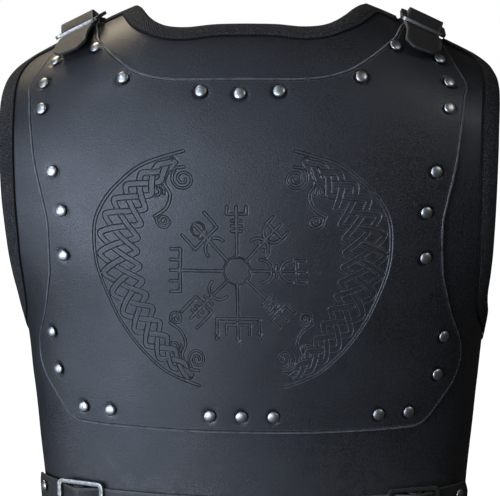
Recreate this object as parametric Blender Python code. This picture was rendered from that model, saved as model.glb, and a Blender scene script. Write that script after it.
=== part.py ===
"""Leather breastplate with a riveted chest panel, shoulder straps and a waist belt.

Every leather piece is cut as a flat blank and then formed over the torso, the way
the real armour is made. Lengths are metres, +Z is up and the front faces -Y. The
origin is the point between the shoulders from which the armour hangs.

A place on the pattern is (across, down, out): across is the distance round the chest
from the centre line, down the distance below the shoulder line along the front, and
out the height above the outer face of the body panel.
"""
import bisect
import math

import bmesh
import bpy
from mathutils import Matrix, Vector

# Torso that the leather is formed over
PANEL_HEIGHT = 0.500        # shoulder line to hem, measured upright
CHEST_HALF_WIDTH = 0.228    # half the width across the chest
CHEST_DEPTH = 0.130         # side seam to the front of the chest
SHOULDER_SLOPE = 0.50       # fall of the shoulder for each metre outwards
SLOPE_START = 0.080         # half the width of the level part at the neck
SLOPE_EASE = 0.020          # run over which the slope begins
CHEST_ROUNDNESS = 0.85      # 1 is an ellipse, less is flatter in front
PATTERN_GIRTH = 1.06        # section that the pattern is measured on, share of the half width

# Leather, tape and metal stock
BODY_LEATHER = 0.0030
CHEST_LEATHER = 0.0026
STRAP_LEATHER = 0.0022
TAPE_THICKNESS = 0.0010
TAPE_WIDTH = 0.0140         # how far the edge tape reaches in from the edge
GAP = 0.0003                # between pieces that touch
TAPE_EDGE_GAP = 0.0006      # tape to the cut edge that it is folded round
FIT = 0.0004                # round metal in leather

# Rivets
RIVET_RADIUS = 0.0050
RIVET_HEIGHT = 0.0023
RIVET_SHANK = 0.0018
RIVET_BACK_RADIUS = 0.0040
RIVET_BACK_HEIGHT = 0.0010
RIVET_HOLE_CLEARANCE = 0.0008
RIVET_CAP_GAP = 0.00055
RIVET_BACK_GAP = 0.0008     # the inner face is hollow, so its cap sits a little off
RIVET_EASE = 0.72           # where the dome turns over, share of its radius and height
RIVET_SIDES = 7
HOLE_SIDES = 5
DRILL_REACH = 0.012         # how far a drill passes either side of the body's face

# Straps and buckles
STRAP_WIDTH = 0.0320
STRAP_SIDE_PLAY = 0.0015    # strap edge to the inside of a buckle
BUCKLE_BAR = 0.0035         # width of the frame's bars
BUCKLE_THICKNESS = 0.0018
BUCKLE_REACH = 0.0220       # middle bar to outer bar, centre to centre
SHOULDER_TILT = math.radians(6.0)
WAIST_TILT = math.radians(6.3)
CREST_PLAY = 0.0006         # strap to the fold that it passes over
REAR_DROP = 0.0013          # the strap slopes under a shoulder's rear bar, so it is lower
BUCKLE_CORNER = 0.0050
MIDDLE_BAR = 0.0024
FOLD_INSIDE = 0.0029        # inside radius of leather folded round a middle bar
BAR_PLAY = 0.0004           # strap to the bars that it passes under
PRONG_RADIUS = 0.0011
PRONG_SLOT = 0.0060
SHOULDER_STRAP_ACROSS = 0.146
SHOULDER_BAR_DOWN = 0.0215
SHOULDER_TAIL = 0.125       # strap behind the middle bar
SHOULDER_TIP = 0.0595       # strap in front of the middle bar
STRAP_TIP_CHAMFER = 0.011
WAIST_DOWN = 0.503          # belt's middle below the shoulder line
WAIST_TAB_WIDTH = 0.034
WAIST_BAR_ACROSS = 0.184
WAIST_TAB_LENGTH = 0.087
WAIST_RETURN_LENGTH = 0.071
WAIST_RIVET_FROM_BAR = 0.061
WAIST_RIVET_SPACING = 0.0150
WAIST_TAB_CHAMFER = 0.011
WAIST_RAMP = (0.04, 0.56)   # where the tab's folded-back half comes down, share of the reach
BELLY_START = 1.35          # the belt lies on the body panel from here, share of the reach
PRONG_SLOT_ENDS = (0.05, 0.86)
RAMP_STEPS = 4
TAB_RETURN_INSET = 0.003    # the folded-back half is narrower on each edge
TAB_NARROWS = (0.20, 0.35)  # where it narrows, share of the folded-back length
TONGUE_START = 0.50         # where the chest panel's tongue begins, share of the reach
PRONG_TURN = (250, 50)      # degrees that the prong turns round its bar, and the step

# Sections of the torso: drop is a share of the panel's height, width of the chest's
# half width, depth of the chest's depth and slope of the shoulder's slope
TORSO_COLUMNS = ("drop", "width", "depth", "slope")
TORSO = (
    (0.000, 1.080, 0.120, 1.00),
    (0.012, 1.090, 0.300, 0.98),
    (0.030, 1.100, 0.480, 0.92),
    (0.060, 1.120, 0.660, 0.82),
    (0.105, 1.140, 0.810, 0.66),
    (0.170, 1.160, 0.925, 0.42),
    (0.250, 1.160, 0.985, 0.20),
    (0.340, 1.125, 1.000, 0.06),
    (0.440, 1.045, 0.985, 0.00),
    (0.560, 0.922, 0.940, 0.00),
    (0.680, 0.886, 0.890, 0.00),
    (0.790, 0.862, 0.855, 0.00),
    (0.890, 0.842, 0.850, 0.00),
    (1.000, 0.832, 0.880, 0.00),
)

# Outlines of one half, from the centre line outwards: across is a share of the
# pattern's half girth, down of its length, and a corner is 1 where the edge turns sharply
OUTLINE_COLUMNS = ("across", "down", "corner")
BODY_OUTLINE = (
    (0.000, 0.136, 0),
    (0.082, 0.137, 0),
    (0.150, 0.143, 0),
    (0.206, 0.140, 0),
    (0.246, 0.127, 0),
    (0.276, 0.106, 0),
    (0.299, 0.077, 0),
    (0.316, 0.050, 0),
    (0.330, 0.030, 1),
    (0.480, 0.029, 0),
    (0.615, 0.030, 0),
    (0.660, 0.040, 0),
    (0.688, 0.066, 0),
    (0.698, 0.104, 0),
    (0.693, 0.150, 0),
    (0.682, 0.195, 0),
    (0.668, 0.245, 0),
    (0.662, 0.295, 0),
    (0.668, 0.355, 0),
    (0.690, 0.420, 0),
    (0.730, 0.482, 0),
    (0.785, 0.538, 0),
    (0.860, 0.585, 0),
    (1.000, 0.625, 1),
)
CHEST_OUTLINE = (
    (0.000, 0.2351, 0),
    (0.093, 0.2356, 0),
    (0.169, 0.2351, 0),
    (0.232, 0.2297, 0),
    (0.279, 0.2172, 0),
    (0.327, 0.1904, 0),
    (0.368, 0.1582, 0),
    (0.396, 0.1305, 0),
    (0.419, 0.0849, 1),
)
CHEST_SIDE = (
    (0.530, 0.0626, 1),
    (0.547, 0.1037, 0),
    (0.564, 0.1430, 0),
    (0.583, 0.1752, 0),
    (0.586, 0.1966, 0),
    (0.573, 0.2306, 0),
    (0.559, 0.2932, 0),
    (0.553, 0.3486, 0),
    (0.546, 0.4201, 0),
    (0.553, 0.4612, 0),
    (0.592, 0.5220, 0),
    (0.639, 0.5604, 0),
    (0.695, 0.5989, 0),
    (0.742, 0.6292, 0),
    (0.761, 0.6525, 0),
    (0.760, 0.6757, 0),
    (0.740, 0.6990, 0),
    (0.707, 0.7195, 0),
    (0.660, 0.7463, 0),
    (0.634, 0.7580, 0),
    (0.604, 0.7660, 0),
    (0.557, 0.7678, 0),
    (0.463, 0.7687, 0),
    (0.199, 0.7705, 0),
    (0.000, 0.7705, 0),
)

# Rivets of one half; those on the centre line are single
RIVET_COLUMNS = ("across", "down")
CHEST_RIVETS = (
    (0.5159, 0.1477),
    (0.3948, 0.1555),
    (0.5335, 0.1970),
    (0.5249, 0.2533),
    (0.4970, 0.3681),
    (0.4894, 0.4326),
    (0.5209, 0.5027),
    (0.6712, 0.6271),
    (0.6616, 0.6864),
    (0.5657, 0.7420),
    (0.4595, 0.7431),
    (0.3006, 0.2302),
    (0.0972, 0.2562),
    (0.0000, 0.2599),
    (0.1065, 0.7445),
    (0.0000, 0.7447),
)

# Ends of a shoulder strap: along is a share of the tip's or the tail's length, measured
# from the middle bar, and out the height above the body panel's line
SHOULDER_TIP_COLUMNS = ("along", "out")
SHOULDER_TIP_LINE = (
    (1.000, 0.0115),
    (0.820, 0.0098),
    (0.660, 0.0082),
)
SHOULDER_TAIL_COLUMNS = ("along", "out")
SHOULDER_TAIL_LINE = (
    (0.290, -0.0065),
    (0.460, -0.0130),
    (0.640, -0.0250),
    (0.820, -0.0440),
    (1.000, -0.0700),
)

# Line of a strap through a buckle: along is a share of the reach from the middle bar to
# the outer ones, height is 1 over the middle bar and 0 under the outer ones
BUCKLE_PATH_COLUMNS = ("along", "height")
BUCKLE_PATH = (
    (1.10, 0.00),
    (0.91, -0.01),
    (0.50, 0.55),
    (0.14, 0.94),
    (0.00, 1.00),
    (-0.14, 0.94),
    (-0.50, 0.55),
    (-0.91, -0.01),
    (-1.20, 0.00),
)

# Smoothness of the faceted solids
FRONT_FACETS = 5            # from the centre line to the shoulder tongue
SIDE_FACETS = 4             # from the waist buckle to the side
FACET_MARGIN = 0.0006
FOLD_ZONE = 0.0130          # half the width of the facet that holds a waist bar
BEHIND_SHOULDER = (0.30, 0.22, 0.16, 0.11, 0.07, 0.035)
TOP_ROWS_SPLIT = 3
OUTLINE_STEP = 0.023
STRAP_STEP = 0.0095
FOLD_STEPS = 6
CORNER_STEPS = 3
EDGE_MARGIN = 0.030         # facet lines reach this far past a piece
SHARP_TURN = math.radians(50.0)
CORNER_ROOM = 1.15          # room at a sharp corner of tape, share of the mitre
MITRE_LIMIT = 0.30
SMALL_STEP = 0.0005         # for measuring directions
ANGLE_STEP = math.radians(0.125)
ANGLE_COUNT = 841
TINY = 1e-7
CROSS_WEIGHT = 0.001        # directions are splined with the places, so they weigh little
SIDES = (("left", -1.0), ("right", 1.0))

BLACK_LEATHER = (0.020, 0.022, 0.027, 1.0)
STRAP_COLOUR = (0.030, 0.029, 0.030, 1.0)
TAPE_COLOUR = (0.012, 0.012, 0.013, 1.0)
NICKEL = (0.62, 0.61, 0.58, 1.0)
STEEL = (0.33, 0.34, 0.35, 1.0)


def rows(columns, table):
    """The table's rows as dictionaries."""
    return [dict(zip(columns, row)) for row in table]


class Torso:
    """The outer face of the body panel as a smooth surface, and its facets."""

    def __init__(self):
        """Measure the front line and the girth, and set the facet lines."""
        sections = rows(TORSO_COLUMNS, TORSO)
        self.columns = [
            [-row["drop"] * PANEL_HEIGHT for row in sections],
            [row["width"] * CHEST_HALF_WIDTH for row in sections],
            [row["depth"] * CHEST_DEPTH for row in sections],
            [row["slope"] * SHOULDER_SLOPE for row in sections],
        ]
        heights, depths = self.columns[0], self.columns[2]
        self.downs = [0.0]
        for i in range(1, len(sections)):
            step = math.hypot(heights[i] - heights[i - 1], depths[i] - depths[i - 1])
            self.downs.append(self.downs[-1] + step)
        self.length = self.downs[-1]
        self.tangents = [self.slopes(column) for column in self.columns]
        self.measure_girth()
        self.set_lines()
        self.corners = {}

    def slopes(self, column):
        """Smooth slopes of one column at the sections."""
        gaps = [b - a for a, b in zip(self.downs, self.downs[1:])]
        rises = [(b - a) / gap for a, b, gap in zip(column, column[1:], gaps)]
        inner = [(gaps[i + 1] * rises[i] + gaps[i] * rises[i + 1]) / (gaps[i] + gaps[i + 1])
                 for i in range(len(rises) - 1)]
        first = 1.5 * rises[0] - 0.5 * inner[0]
        last = 1.5 * rises[-1] - 0.5 * inner[-1]
        return [first] + inner + [last]

    def measure_girth(self):
        """Distance round the pattern's own section for each angle from the front."""
        self.arcs = [0.0]
        width, depth = PATTERN_GIRTH * CHEST_HALF_WIDTH, CHEST_DEPTH
        last = self.section(width, depth, 0.0)
        for i in range(1, ANGLE_COUNT):
            here = self.section(width, depth, i * ANGLE_STEP)
            self.arcs.append(self.arcs[-1] + math.dist(last, here))
            last = here
        self.half_girth = self.across(math.pi / 2.0)

    def section(self, width, depth, angle):
        """Point (x, y) of a level section."""
        front = math.cos(angle)
        curve = math.copysign(abs(front) ** CHEST_ROUNDNESS, front)
        return width * math.sin(angle), -depth * curve

    def across(self, angle):
        """Distance round the pattern from the centre line to an angle."""
        place = abs(angle) / ANGLE_STEP
        low = min(int(place), len(self.arcs) - 2)
        arc = self.arcs[low] + (place - low) * (self.arcs[low + 1] - self.arcs[low])
        return math.copysign(arc, angle)

    def angle(self, across):
        """Angle from the front at a distance round the pattern."""
        size = abs(across)
        low = min(max(bisect.bisect_right(self.arcs, size) - 1, 0), len(self.arcs) - 2)
        share = (size - self.arcs[low]) / (self.arcs[low + 1] - self.arcs[low])
        return math.copysign((low + share) * ANGLE_STEP, across)

    def row(self, down):
        """Height, half width, depth and slope at a distance down the front."""
        low = min(max(bisect.bisect_right(self.downs, down) - 1, 0), len(self.downs) - 2)
        gap = self.downs[low + 1] - self.downs[low]
        share = (down - self.downs[low]) / gap
        if share < 0.0 or share > 1.0:
            end = low if share < 0.0 else low + 1
            return [column[end] + slope[end] * (down - self.downs[end])
                    for column, slope in zip(self.columns, self.tangents)]
        square, cube = share * share, share ** 3
        first = 2.0 * cube - 3.0 * square + 1.0
        leave = (cube - 2.0 * square + share) * gap
        arrive = (cube - square) * gap
        return [first * column[low] + leave * slope[low] + (1.0 - first) * column[low + 1]
                + arrive * slope[low + 1] for column, slope in zip(self.columns, self.tangents)]

    def smooth(self, across, down):
        """Point of the smooth surface."""
        height, width, depth, slope = self.row(down)
        x, y = self.section(width, depth, self.angle(across))
        beyond = max(abs(x) - SLOPE_START, 0.0)
        height -= slope * beyond * beyond / (beyond + SLOPE_EASE)
        return Vector((x, y, height))

    def set_lines(self):
        """Pattern lines along which the leather is faceted; none crosses a buckle's fold."""
        tongue = STRAP_WIDTH / 2.0 + FACET_MARGIN
        inside, outside = SHOULDER_STRAP_ACROSS - tongue, SHOULDER_STRAP_ACROSS + tongue
        before, after = WAIST_BAR_ACROSS - FOLD_ZONE, WAIST_BAR_ACROSS + FOLD_ZONE
        half = [inside * i / FRONT_FACETS for i in range(FRONT_FACETS)]
        half += [inside, outside, before]
        half += [after + (self.half_girth - after) * i / SIDE_FACETS for i in range(SIDE_FACETS + 1)]
        half.append(self.half_girth + EDGE_MARGIN)
        self.across_lines = [-line for line in reversed(half[1:])] + half
        lines = [-share * self.length for share in BEHIND_SHOULDER]
        belt = (WAIST_DOWN - WAIST_TAB_WIDTH / 2.0 - FACET_MARGIN,
                WAIST_DOWN + WAIST_TAB_WIDTH / 2.0 + FACET_MARGIN)
        for i, (a, b) in enumerate(zip(self.downs, self.downs[1:])):
            if not belt[0] < a < belt[1]:
                lines.append(a)
            if i < TOP_ROWS_SPLIT:
                lines.append((a + b) / 2.0)
        lines += [belt[0], belt[1], self.length, self.length + EDGE_MARGIN]
        self.down_lines = sorted(lines)

    def corner(self, i, j):
        """Point and outward direction where two facet lines cross."""
        if (i, j) not in self.corners:
            across, down = self.across_lines[i], self.down_lines[j]
            round_it, down_it = self.runs(across, down)
            self.corners[i, j] = (self.smooth(across, down),
                                  down_it.cross(round_it).normalized())
        return self.corners[i, j]

    def runs(self, across, down):
        """Steps round and down the smooth surface at a place."""
        step = SMALL_STEP
        return (self.smooth(across + step, down) - self.smooth(across - step, down),
                self.smooth(across, down + step) - self.smooth(across, down - step))

    def cell(self, across, down):
        """Facet that holds a place, and the place's shares within it."""
        result = []
        for lines, value in ((self.across_lines, across), (self.down_lines, down)):
            low = min(max(bisect.bisect_right(lines, value) - 1, 0), len(lines) - 2)
            result.append((low, (value - lines[low]) / (lines[low + 1] - lines[low])))
        return result

    def point(self, across, down, out):
        """World point of a place on the faceted leather."""
        (i, u), (j, v) = self.cell(across, down)
        total = Vector()
        for di, share_u in ((0, 1.0 - u), (1, u)):
            for dj, share_v in ((0, 1.0 - v), (1, v)):
                spot, normal = self.corner(i + di, j + dj)
                total += (spot + normal * out) * (share_u * share_v)
        return total

    def frame(self, across, down, out):
        """World matrix at a place: X across, Y up the pattern, Z outwards."""
        step = SMALL_STEP
        (i, u), (j, v) = self.cell(across, down)
        wide = self.across_lines[i + 1] - self.across_lines[i]
        tall = self.down_lines[j + 1] - self.down_lines[j]
        side = step if u * wide < wide - step else -step
        fall = step if v * tall < tall - step else -step
        here = self.point(across, down, out)
        x_axis = (self.point(across + side, down, out) - here) * math.copysign(1.0, side)
        y_axis = (here - self.point(across, down + fall, out)) * math.copysign(1.0, fall)
        z_axis = x_axis.cross(y_axis).normalized()
        y_axis = z_axis.cross(x_axis).normalized()
        x_axis.normalize()
        turn = Matrix((x_axis, y_axis, z_axis)).transposed().to_4x4()
        return Matrix.Translation(here) @ turn

    def stretch(self, place, axis):
        """World length of one unit of pattern along an axis at a place."""
        low, high = list(place), list(place)
        low[axis] -= SMALL_STEP
        high[axis] += SMALL_STEP
        return (self.point(*high) - self.point(*low)).length / (2.0 * SMALL_STEP)

    def stand(self, across, down):
        """World matrix on the leather, square to the smooth surface."""
        round_it, down_it = self.runs(across, down)
        z_axis = down_it.cross(round_it).normalized()
        x_axis = round_it.normalized()
        y_axis = z_axis.cross(x_axis)
        turn = Matrix((x_axis, y_axis, z_axis)).transposed().to_4x4()
        return Matrix.Translation(self.point(across, down, 0.0)) @ turn


def spline(points, step):
    """A smooth open line through points, sampled about every step."""
    line = [points[0]]
    padded = [points[0]] + list(points) + [points[-1]]
    for a, b, c, d in zip(padded, padded[1:], padded[2:], padded[3:]):
        count = max(1, round(math.dist(b, c) / step))
        for i in range(1, count + 1):
            t = i / count
            line.append(tuple(
                0.5 * (2.0 * q + (r - p) * t + (2.0 * p - 5.0 * q + 4.0 * r - s) * t * t
                       + (3.0 * q - p - 3.0 * r + s) * t ** 3)
                for p, q, r, s in zip(a, b, c, d)))
    return line


def outline_line(torso, table, step=OUTLINE_STEP):
    """Sampled edge from an outline table, smooth between its sharp corners."""
    run, line = [], []
    for row in rows(OUTLINE_COLUMNS, table):
        run.append((row["across"] * torso.half_girth, row["down"] * torso.length))
        if row["corner"]:
            line += spline(run, step)[:-1] if len(run) > 1 else []
            run = [run[-1]]
    line += spline(run, step) if len(run) > 1 else run
    return line


def mirrored(line):
    """The other half of a line that starts on the centre line, then the line."""
    other = [(-x, y) for x, y in reversed(line) if x > TINY]
    return other + list(line)


def new_object(name, mesh, collection):
    """Link an object that holds a mesh."""
    thing = bpy.data.objects.new(name, mesh)
    collection.objects.link(thing)
    return thing


def flat_blank(name, outline, low, high):
    """Mesh of a flat outline, thick from low to high, with one face on each side."""
    curve = bpy.data.curves.new(name, "CURVE")
    curve.dimensions = "2D"
    curve.fill_mode = "BOTH"
    curve.extrude = (high - low) / 2.0
    loop = curve.splines.new("POLY")
    loop.points.add(len(outline) - 1)
    for point, (x, y) in zip(loop.points, outline):
        point.co = (x, y, 0.0, 1.0)
    loop.use_cyclic_u = True
    holder = bpy.data.objects.new(name, curve)
    bpy.context.scene.collection.objects.link(holder)
    bpy.context.view_layer.update()
    graph = bpy.context.evaluated_depsgraph_get()
    mesh = bpy.data.meshes.new_from_object(holder.evaluated_get(graph))
    bpy.data.objects.remove(holder)
    bpy.data.curves.remove(curve)
    bm = bmesh.new()
    bm.from_mesh(mesh)
    bmesh.ops.translate(bm, verts=bm.verts, vec=(0.0, 0.0, (low + high) / 2.0))
    bmesh.ops.remove_doubles(bm, verts=bm.verts, dist=1e-6)
    for side in (-1.0, 1.0):
        caps = [face for face in bm.faces if face.normal.z * side > 0.9]
        bmesh.ops.dissolve_faces(bm, faces=caps, use_verts=False)
    bpy.data.meshes.remove(mesh)
    return bm


def cut_lines(bm, axis, values):
    """Score a blank straight across at each value along an axis."""
    places = [vert.co[axis] for vert in bm.verts]
    low, high = min(places), max(places)
    normal = Vector((0.0, 0.0, 0.0))
    normal[axis] = 1.0
    for value in values:
        if low + 1e-6 < value < high - 1e-6:
            geometry = list(bm.verts) + list(bm.edges) + list(bm.faces)
            bmesh.ops.bisect_plane(bm, geom=geometry, dist=1e-7, plane_co=normal * value,
                                   plane_no=normal)


def cut_to_facets(torso, bm):
    """Score a blank along the torso's facet lines."""
    cut_lines(bm, 0, torso.across_lines)
    cut_lines(bm, 1, torso.down_lines)


def form(torso, bm):
    """Form a scored blank over the torso."""
    for vert in bm.verts:
        vert.co = torso.point(*vert.co)
    bmesh.ops.recalc_face_normals(bm, faces=bm.faces)


def subtract(name, bm, punch, cutters):
    """The blank without what the punch overlaps; both are used up."""
    blank = bpy.data.meshes.new(name)
    bm.to_mesh(blank)
    bm.free()
    target = new_object(name, blank, cutters)
    punch_mesh = bpy.data.meshes.new(name + "_punch")
    punch.to_mesh(punch_mesh)
    punch.free()
    cutter = new_object(name + "_punch", punch_mesh, cutters)
    cut = target.modifiers.new("holes", "BOOLEAN")
    cut.operation = "DIFFERENCE"
    cut.solver = "EXACT"
    cut.object = cutter
    bpy.context.view_layer.update()
    graph = bpy.context.evaluated_depsgraph_get()
    done = bpy.data.meshes.new_from_object(target.evaluated_get(graph))
    result = bmesh.new()
    result.from_mesh(done)
    bpy.data.objects.remove(target)
    bpy.data.objects.remove(cutter)
    for mesh in (blank, punch_mesh, done):
        bpy.data.meshes.remove(mesh)
    return result


def drill(name, bm, places, cutters):
    """Take rivet holes, square to each place, out of formed leather."""
    bmesh.ops.triangulate(bm, faces=bm.faces)
    punch = bmesh.new()
    radius = RIVET_SHANK + RIVET_HOLE_CLEARANCE
    for place in places:
        bmesh.ops.create_cone(punch, cap_ends=True, segments=HOLE_SIDES, radius1=radius,
                              radius2=radius, depth=2.0 * DRILL_REACH, matrix=place)
    return subtract(name, bm, punch, cutters)


def box_cut(name, bm, boxes, cutters):
    """Take boxes, given as (low corner, high corner), out of a flat blank."""
    punch = bmesh.new()
    for low, high in boxes:
        low, high = Vector(low), Vector(high)
        place = Matrix.Translation((low + high) / 2.0) @ Matrix.Diagonal((*(high - low), 1.0))
        bmesh.ops.create_cube(punch, size=1.0, matrix=place)
    return subtract(name, bm, punch, cutters)


def finish(name, bm, material, collection, merge=2e-5):
    """Close a formed blank into a named object."""
    bmesh.ops.remove_doubles(bm, verts=bm.verts, dist=merge)
    bmesh.ops.dissolve_degenerate(bm, edges=bm.edges, dist=merge)
    bmesh.ops.recalc_face_normals(bm, faces=bm.faces)
    mesh = bpy.data.meshes.new(name)
    bm.to_mesh(mesh)
    bm.free()
    mesh.materials.append(material)
    return new_object(name, mesh, collection)


def surface_material(name, colour, roughness, metallic):
    """A plain Principled material."""
    material = bpy.data.materials.new(name)
    material.use_nodes = True
    shader = material.node_tree.nodes["Principled BSDF"]
    shader.inputs["Base Color"].default_value = colour
    shader.inputs["Roughness"].default_value = roughness
    shader.inputs["Metallic"].default_value = metallic
    material.diffuse_color = colour
    return material


def rivet_places(torso):
    """Every chest rivet as (name, across, down)."""
    places = []
    for number, row in enumerate(rows(RIVET_COLUMNS, CHEST_RIVETS), start=1):
        across, down = row["across"] * torso.half_girth, row["down"] * torso.length
        if across < TINY:
            places.append((f"chest_rivet_{number:02d}", 0.0, down))
        else:
            places.append((f"chest_rivet_{number:02d}_left", -across, down))
            places.append((f"chest_rivet_{number:02d}_right", across, down))
    return places


def waist_bar(side):
    """Across place of the middle bar of a waist buckle."""
    return side * WAIST_BAR_ACROSS


def waist_rivet_places():
    """Every rivet of the waist tabs as (name, across, down)."""
    return [(f"waist_rivet_{level}_{word}", waist_bar(side) + side * WAIST_RIVET_FROM_BAR,
             WAIST_DOWN + drop * WAIST_RIVET_SPACING)
            for word, side in SIDES for level, drop in (("upper", -0.5), ("lower", 0.5))]


def make_body_panel(torso, materials, parts, cutters):
    """The main leather shell, from the shoulders to the hem."""
    edge = outline_line(torso, BODY_OUTLINE)
    edge.append((torso.half_girth, torso.length))
    bm = flat_blank("body_panel", mirrored(edge), -BODY_LEATHER, 0.0)
    cut_to_facets(torso, bm)
    form(torso, bm)
    places = [torso.stand(across, down)
              for _, across, down in rivet_places(torso) + waist_rivet_places()]
    bm = drill("body_panel", bm, places, cutters)
    finish("body_panel", bm, materials["leather"], parts)


def fold_height(sheet_low, thickness):
    """Height of the middle bar above the base of a sheet that is folded round it."""
    return sheet_low + thickness + FOLD_INSIDE


def fold_over(bm, axis, start, direction, height, middle_radius, stretch):
    """Fold what lies past a line up and back over itself, round a bar at a height."""
    half_turn = math.pi * middle_radius / stretch
    for vert in bm.verts:
        past = (vert.co[axis] - start) * direction
        if past <= 0.0:
            continue
        arm = height - vert.co.z
        turn = min(past / half_turn, 1.0) * math.pi
        back = max(past - half_turn, 0.0)
        vert.co[axis] = start + direction * (arm * math.sin(turn) / stretch - back)
        vert.co.z = height - arm * math.cos(turn)


def fold_cuts(start, direction, half_turn):
    """Lines that a sheet is scored along before it is folded."""
    return [start + direction * half_turn * i / FOLD_STEPS for i in range(FOLD_STEPS + 1)]


def make_chest_panel(torso, materials, parts, cutters):
    """The riveted chest panel, with a tongue at each shoulder folded round its buckle."""
    low, high = GAP, GAP + CHEST_LEATHER
    bar_height = fold_height(low, CHEST_LEATHER)
    middle = FOLD_INSIDE + CHEST_LEATHER / 2.0
    bar = (SHOULDER_STRAP_ACROSS, SHOULDER_BAR_DOWN, bar_height)
    wide, tall = torso.stretch(bar, 0), torso.stretch(bar, 1)
    fold_length = math.pi * middle / tall
    inner_line = outline_line(torso, CHEST_OUTLINE)
    outer_line = outline_line(torso, CHEST_SIDE)
    half = STRAP_WIDTH / 2.0 / wide
    inside, outside = SHOULDER_STRAP_ACROSS - half, SHOULDER_STRAP_ACROSS + half
    end = SHOULDER_BAR_DOWN - fold_length
    start = SHOULDER_BAR_DOWN + TONGUE_START * BUCKLE_REACH
    tongue = [(inside, start), (inside, end), (outside, end), (outside, start)]
    edge = inner_line + tongue + outer_line
    bm = flat_blank("chest_panel", mirrored(edge), low, high)
    cut_lines(bm, 1, fold_cuts(SHOULDER_BAR_DOWN, -1.0, fold_length))
    cut_lines(bm, 0, torso.across_lines)
    cut_lines(bm, 1, [line for line in torso.down_lines if line > SHOULDER_BAR_DOWN])
    bm = cut_prong_slots(bm, low, high, fold_length, tall, cutters)
    fold_over(bm, 1, SHOULDER_BAR_DOWN, -1.0, bar_height, middle, tall)
    form(torso, bm)
    places = [torso.stand(across, down) for _, across, down in rivet_places(torso)]
    bm = drill("chest_panel", bm, places, cutters)
    finish("chest_panel", bm, materials["leather"], parts)


def cut_prong_slots(bm, low, high, fold_length, tall, cutters):
    """Slots in the chest panel's tongues, where the prongs go round the bars."""
    room = (ring_radius() + PRONG_RADIUS + 2.0 * FIT) / tall
    boxes = []
    for _, side in SIDES:
        across = side * SHOULDER_STRAP_ACROSS
        boxes.append(((across - PRONG_SLOT / 2.0, SHOULDER_BAR_DOWN - fold_length - GAP,
                       low - high),
                      (across + PRONG_SLOT / 2.0, SHOULDER_BAR_DOWN + room, 2.0 * high)))
    return box_cut("chest_panel", bm, boxes, cutters)


def ring_radius():
    """Radius of the prong's ring, to the middle of its wire."""
    return math.hypot(MIDDLE_BAR, BUCKLE_THICKNESS) / 2.0 + FIT + PRONG_RADIUS


def edge_offset(line, ends_on_seam):
    """Outward directions along an edge line, mitred at its corners."""
    result = []
    for i, here in enumerate(line):
        before = line[i - 1] if i else None
        after = line[i + 1] if i + 1 < len(line) else None
        normals = []
        for a, b in ((before, here), (here, after)):
            if a is not None and b is not None:
                run = Vector(b) - Vector(a)
                run.normalize()
                normals.append(Vector((run.y, -run.x)))
        total = sum(normals, Vector((0.0, 0.0)))
        total.normalize()
        result.append(total / max(total.dot(normals[0]), MITRE_LIMIT))
    if ends_on_seam:
        result[-1] = Vector((0.0, math.copysign(1.0 / max(abs(total.y), MITRE_LIMIT), total.y)))
    return result


def thin_corners(line, reach):
    """Drop samples so near a sharp corner that the tape's inner edge would cross."""
    sharp = []
    for i in range(1, len(line) - 1):
        a, b, c = Vector(line[i - 1]), Vector(line[i]), Vector(line[i + 1])
        turn = (b - a).angle(c - b)
        if turn > SHARP_TURN:
            sharp.append((b, reach * math.tan(turn / 2.0) * CORNER_ROOM))
    kept = []
    for i, point in enumerate(line):
        spots = [(Vector(point) - corner).length < room for corner, room in sharp]
        at_corner = [(Vector(point) - corner).length < TINY for corner, room in sharp]
        if not any(spots) or any(at_corner) or i in (0, len(line) - 1):
            kept.append(point)
    return kept


def make_binding(name, torso, line, side, ends_on_seam, materials, parts):
    """Woven tape folded round a leather edge, as a U that follows the edge."""
    line = thin_corners(line, TAPE_WIDTH)
    inner_low, inner_high = -BODY_LEATHER - GAP, GAP
    low, high = inner_low - TAPE_THICKNESS, inner_high + TAPE_THICKNESS
    edge = TAPE_EDGE_GAP
    profile = ((-TAPE_WIDTH, inner_high), (-TAPE_WIDTH, high), (edge + TAPE_THICKNESS, high),
               (edge + TAPE_THICKNESS, low), (-TAPE_WIDTH, low), (-TAPE_WIDTH, inner_low),
               (edge, inner_low), (edge, inner_high))
    bm = bmesh.new()
    rings = []
    for spot, outward in zip(line, edge_offset(line, ends_on_seam)):
        rings.append([bm.verts.new(((spot[0] + outward.x * reach) * side,
                                    spot[1] + outward.y * reach, out)) for reach, out in profile])
    count = len(profile)
    for a, b in zip(rings, rings[1:]):
        for k in range(count):
            m = (k + 1) % count
            bm.faces.new((a[k], a[m], b[m], b[k]))
    bm.faces.new(rings[0])
    bm.faces.new(reversed(rings[-1]))
    cut_to_facets(torso, bm)
    form(torso, bm)
    finish(name, bm, materials["tape"], parts)


def make_bindings(torso, materials, parts):
    """Tape round the neck and both armholes, stopping beside the shoulder buckles."""
    edge = outline_line(torso, BODY_OUTLINE)
    free = STRAP_WIDTH / 2.0 + STRAP_SIDE_PLAY + BUCKLE_BAR + 2.0 * GAP
    inside, outside = SHOULDER_STRAP_ACROSS - free, SHOULDER_STRAP_ACROSS + free
    top = min(range(len(edge)), key=lambda i: abs(edge[i][0] - SHOULDER_STRAP_ACROSS))
    room = OUTLINE_STEP / 3.0
    neck = [point for point in edge[:top] if point[0] < inside - room]
    neck.append((inside, edge[top][1]))
    arm = [(outside, edge[top][1])]
    arm += [point for point in edge[top:] if point[0] > outside + room]
    make_binding("neck_binding", torso, mirrored(neck), 1.0, False, materials, parts)
    for word, side in SIDES:
        make_binding("armhole_binding_" + word, torso, arm, side, True, materials, parts)


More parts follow.
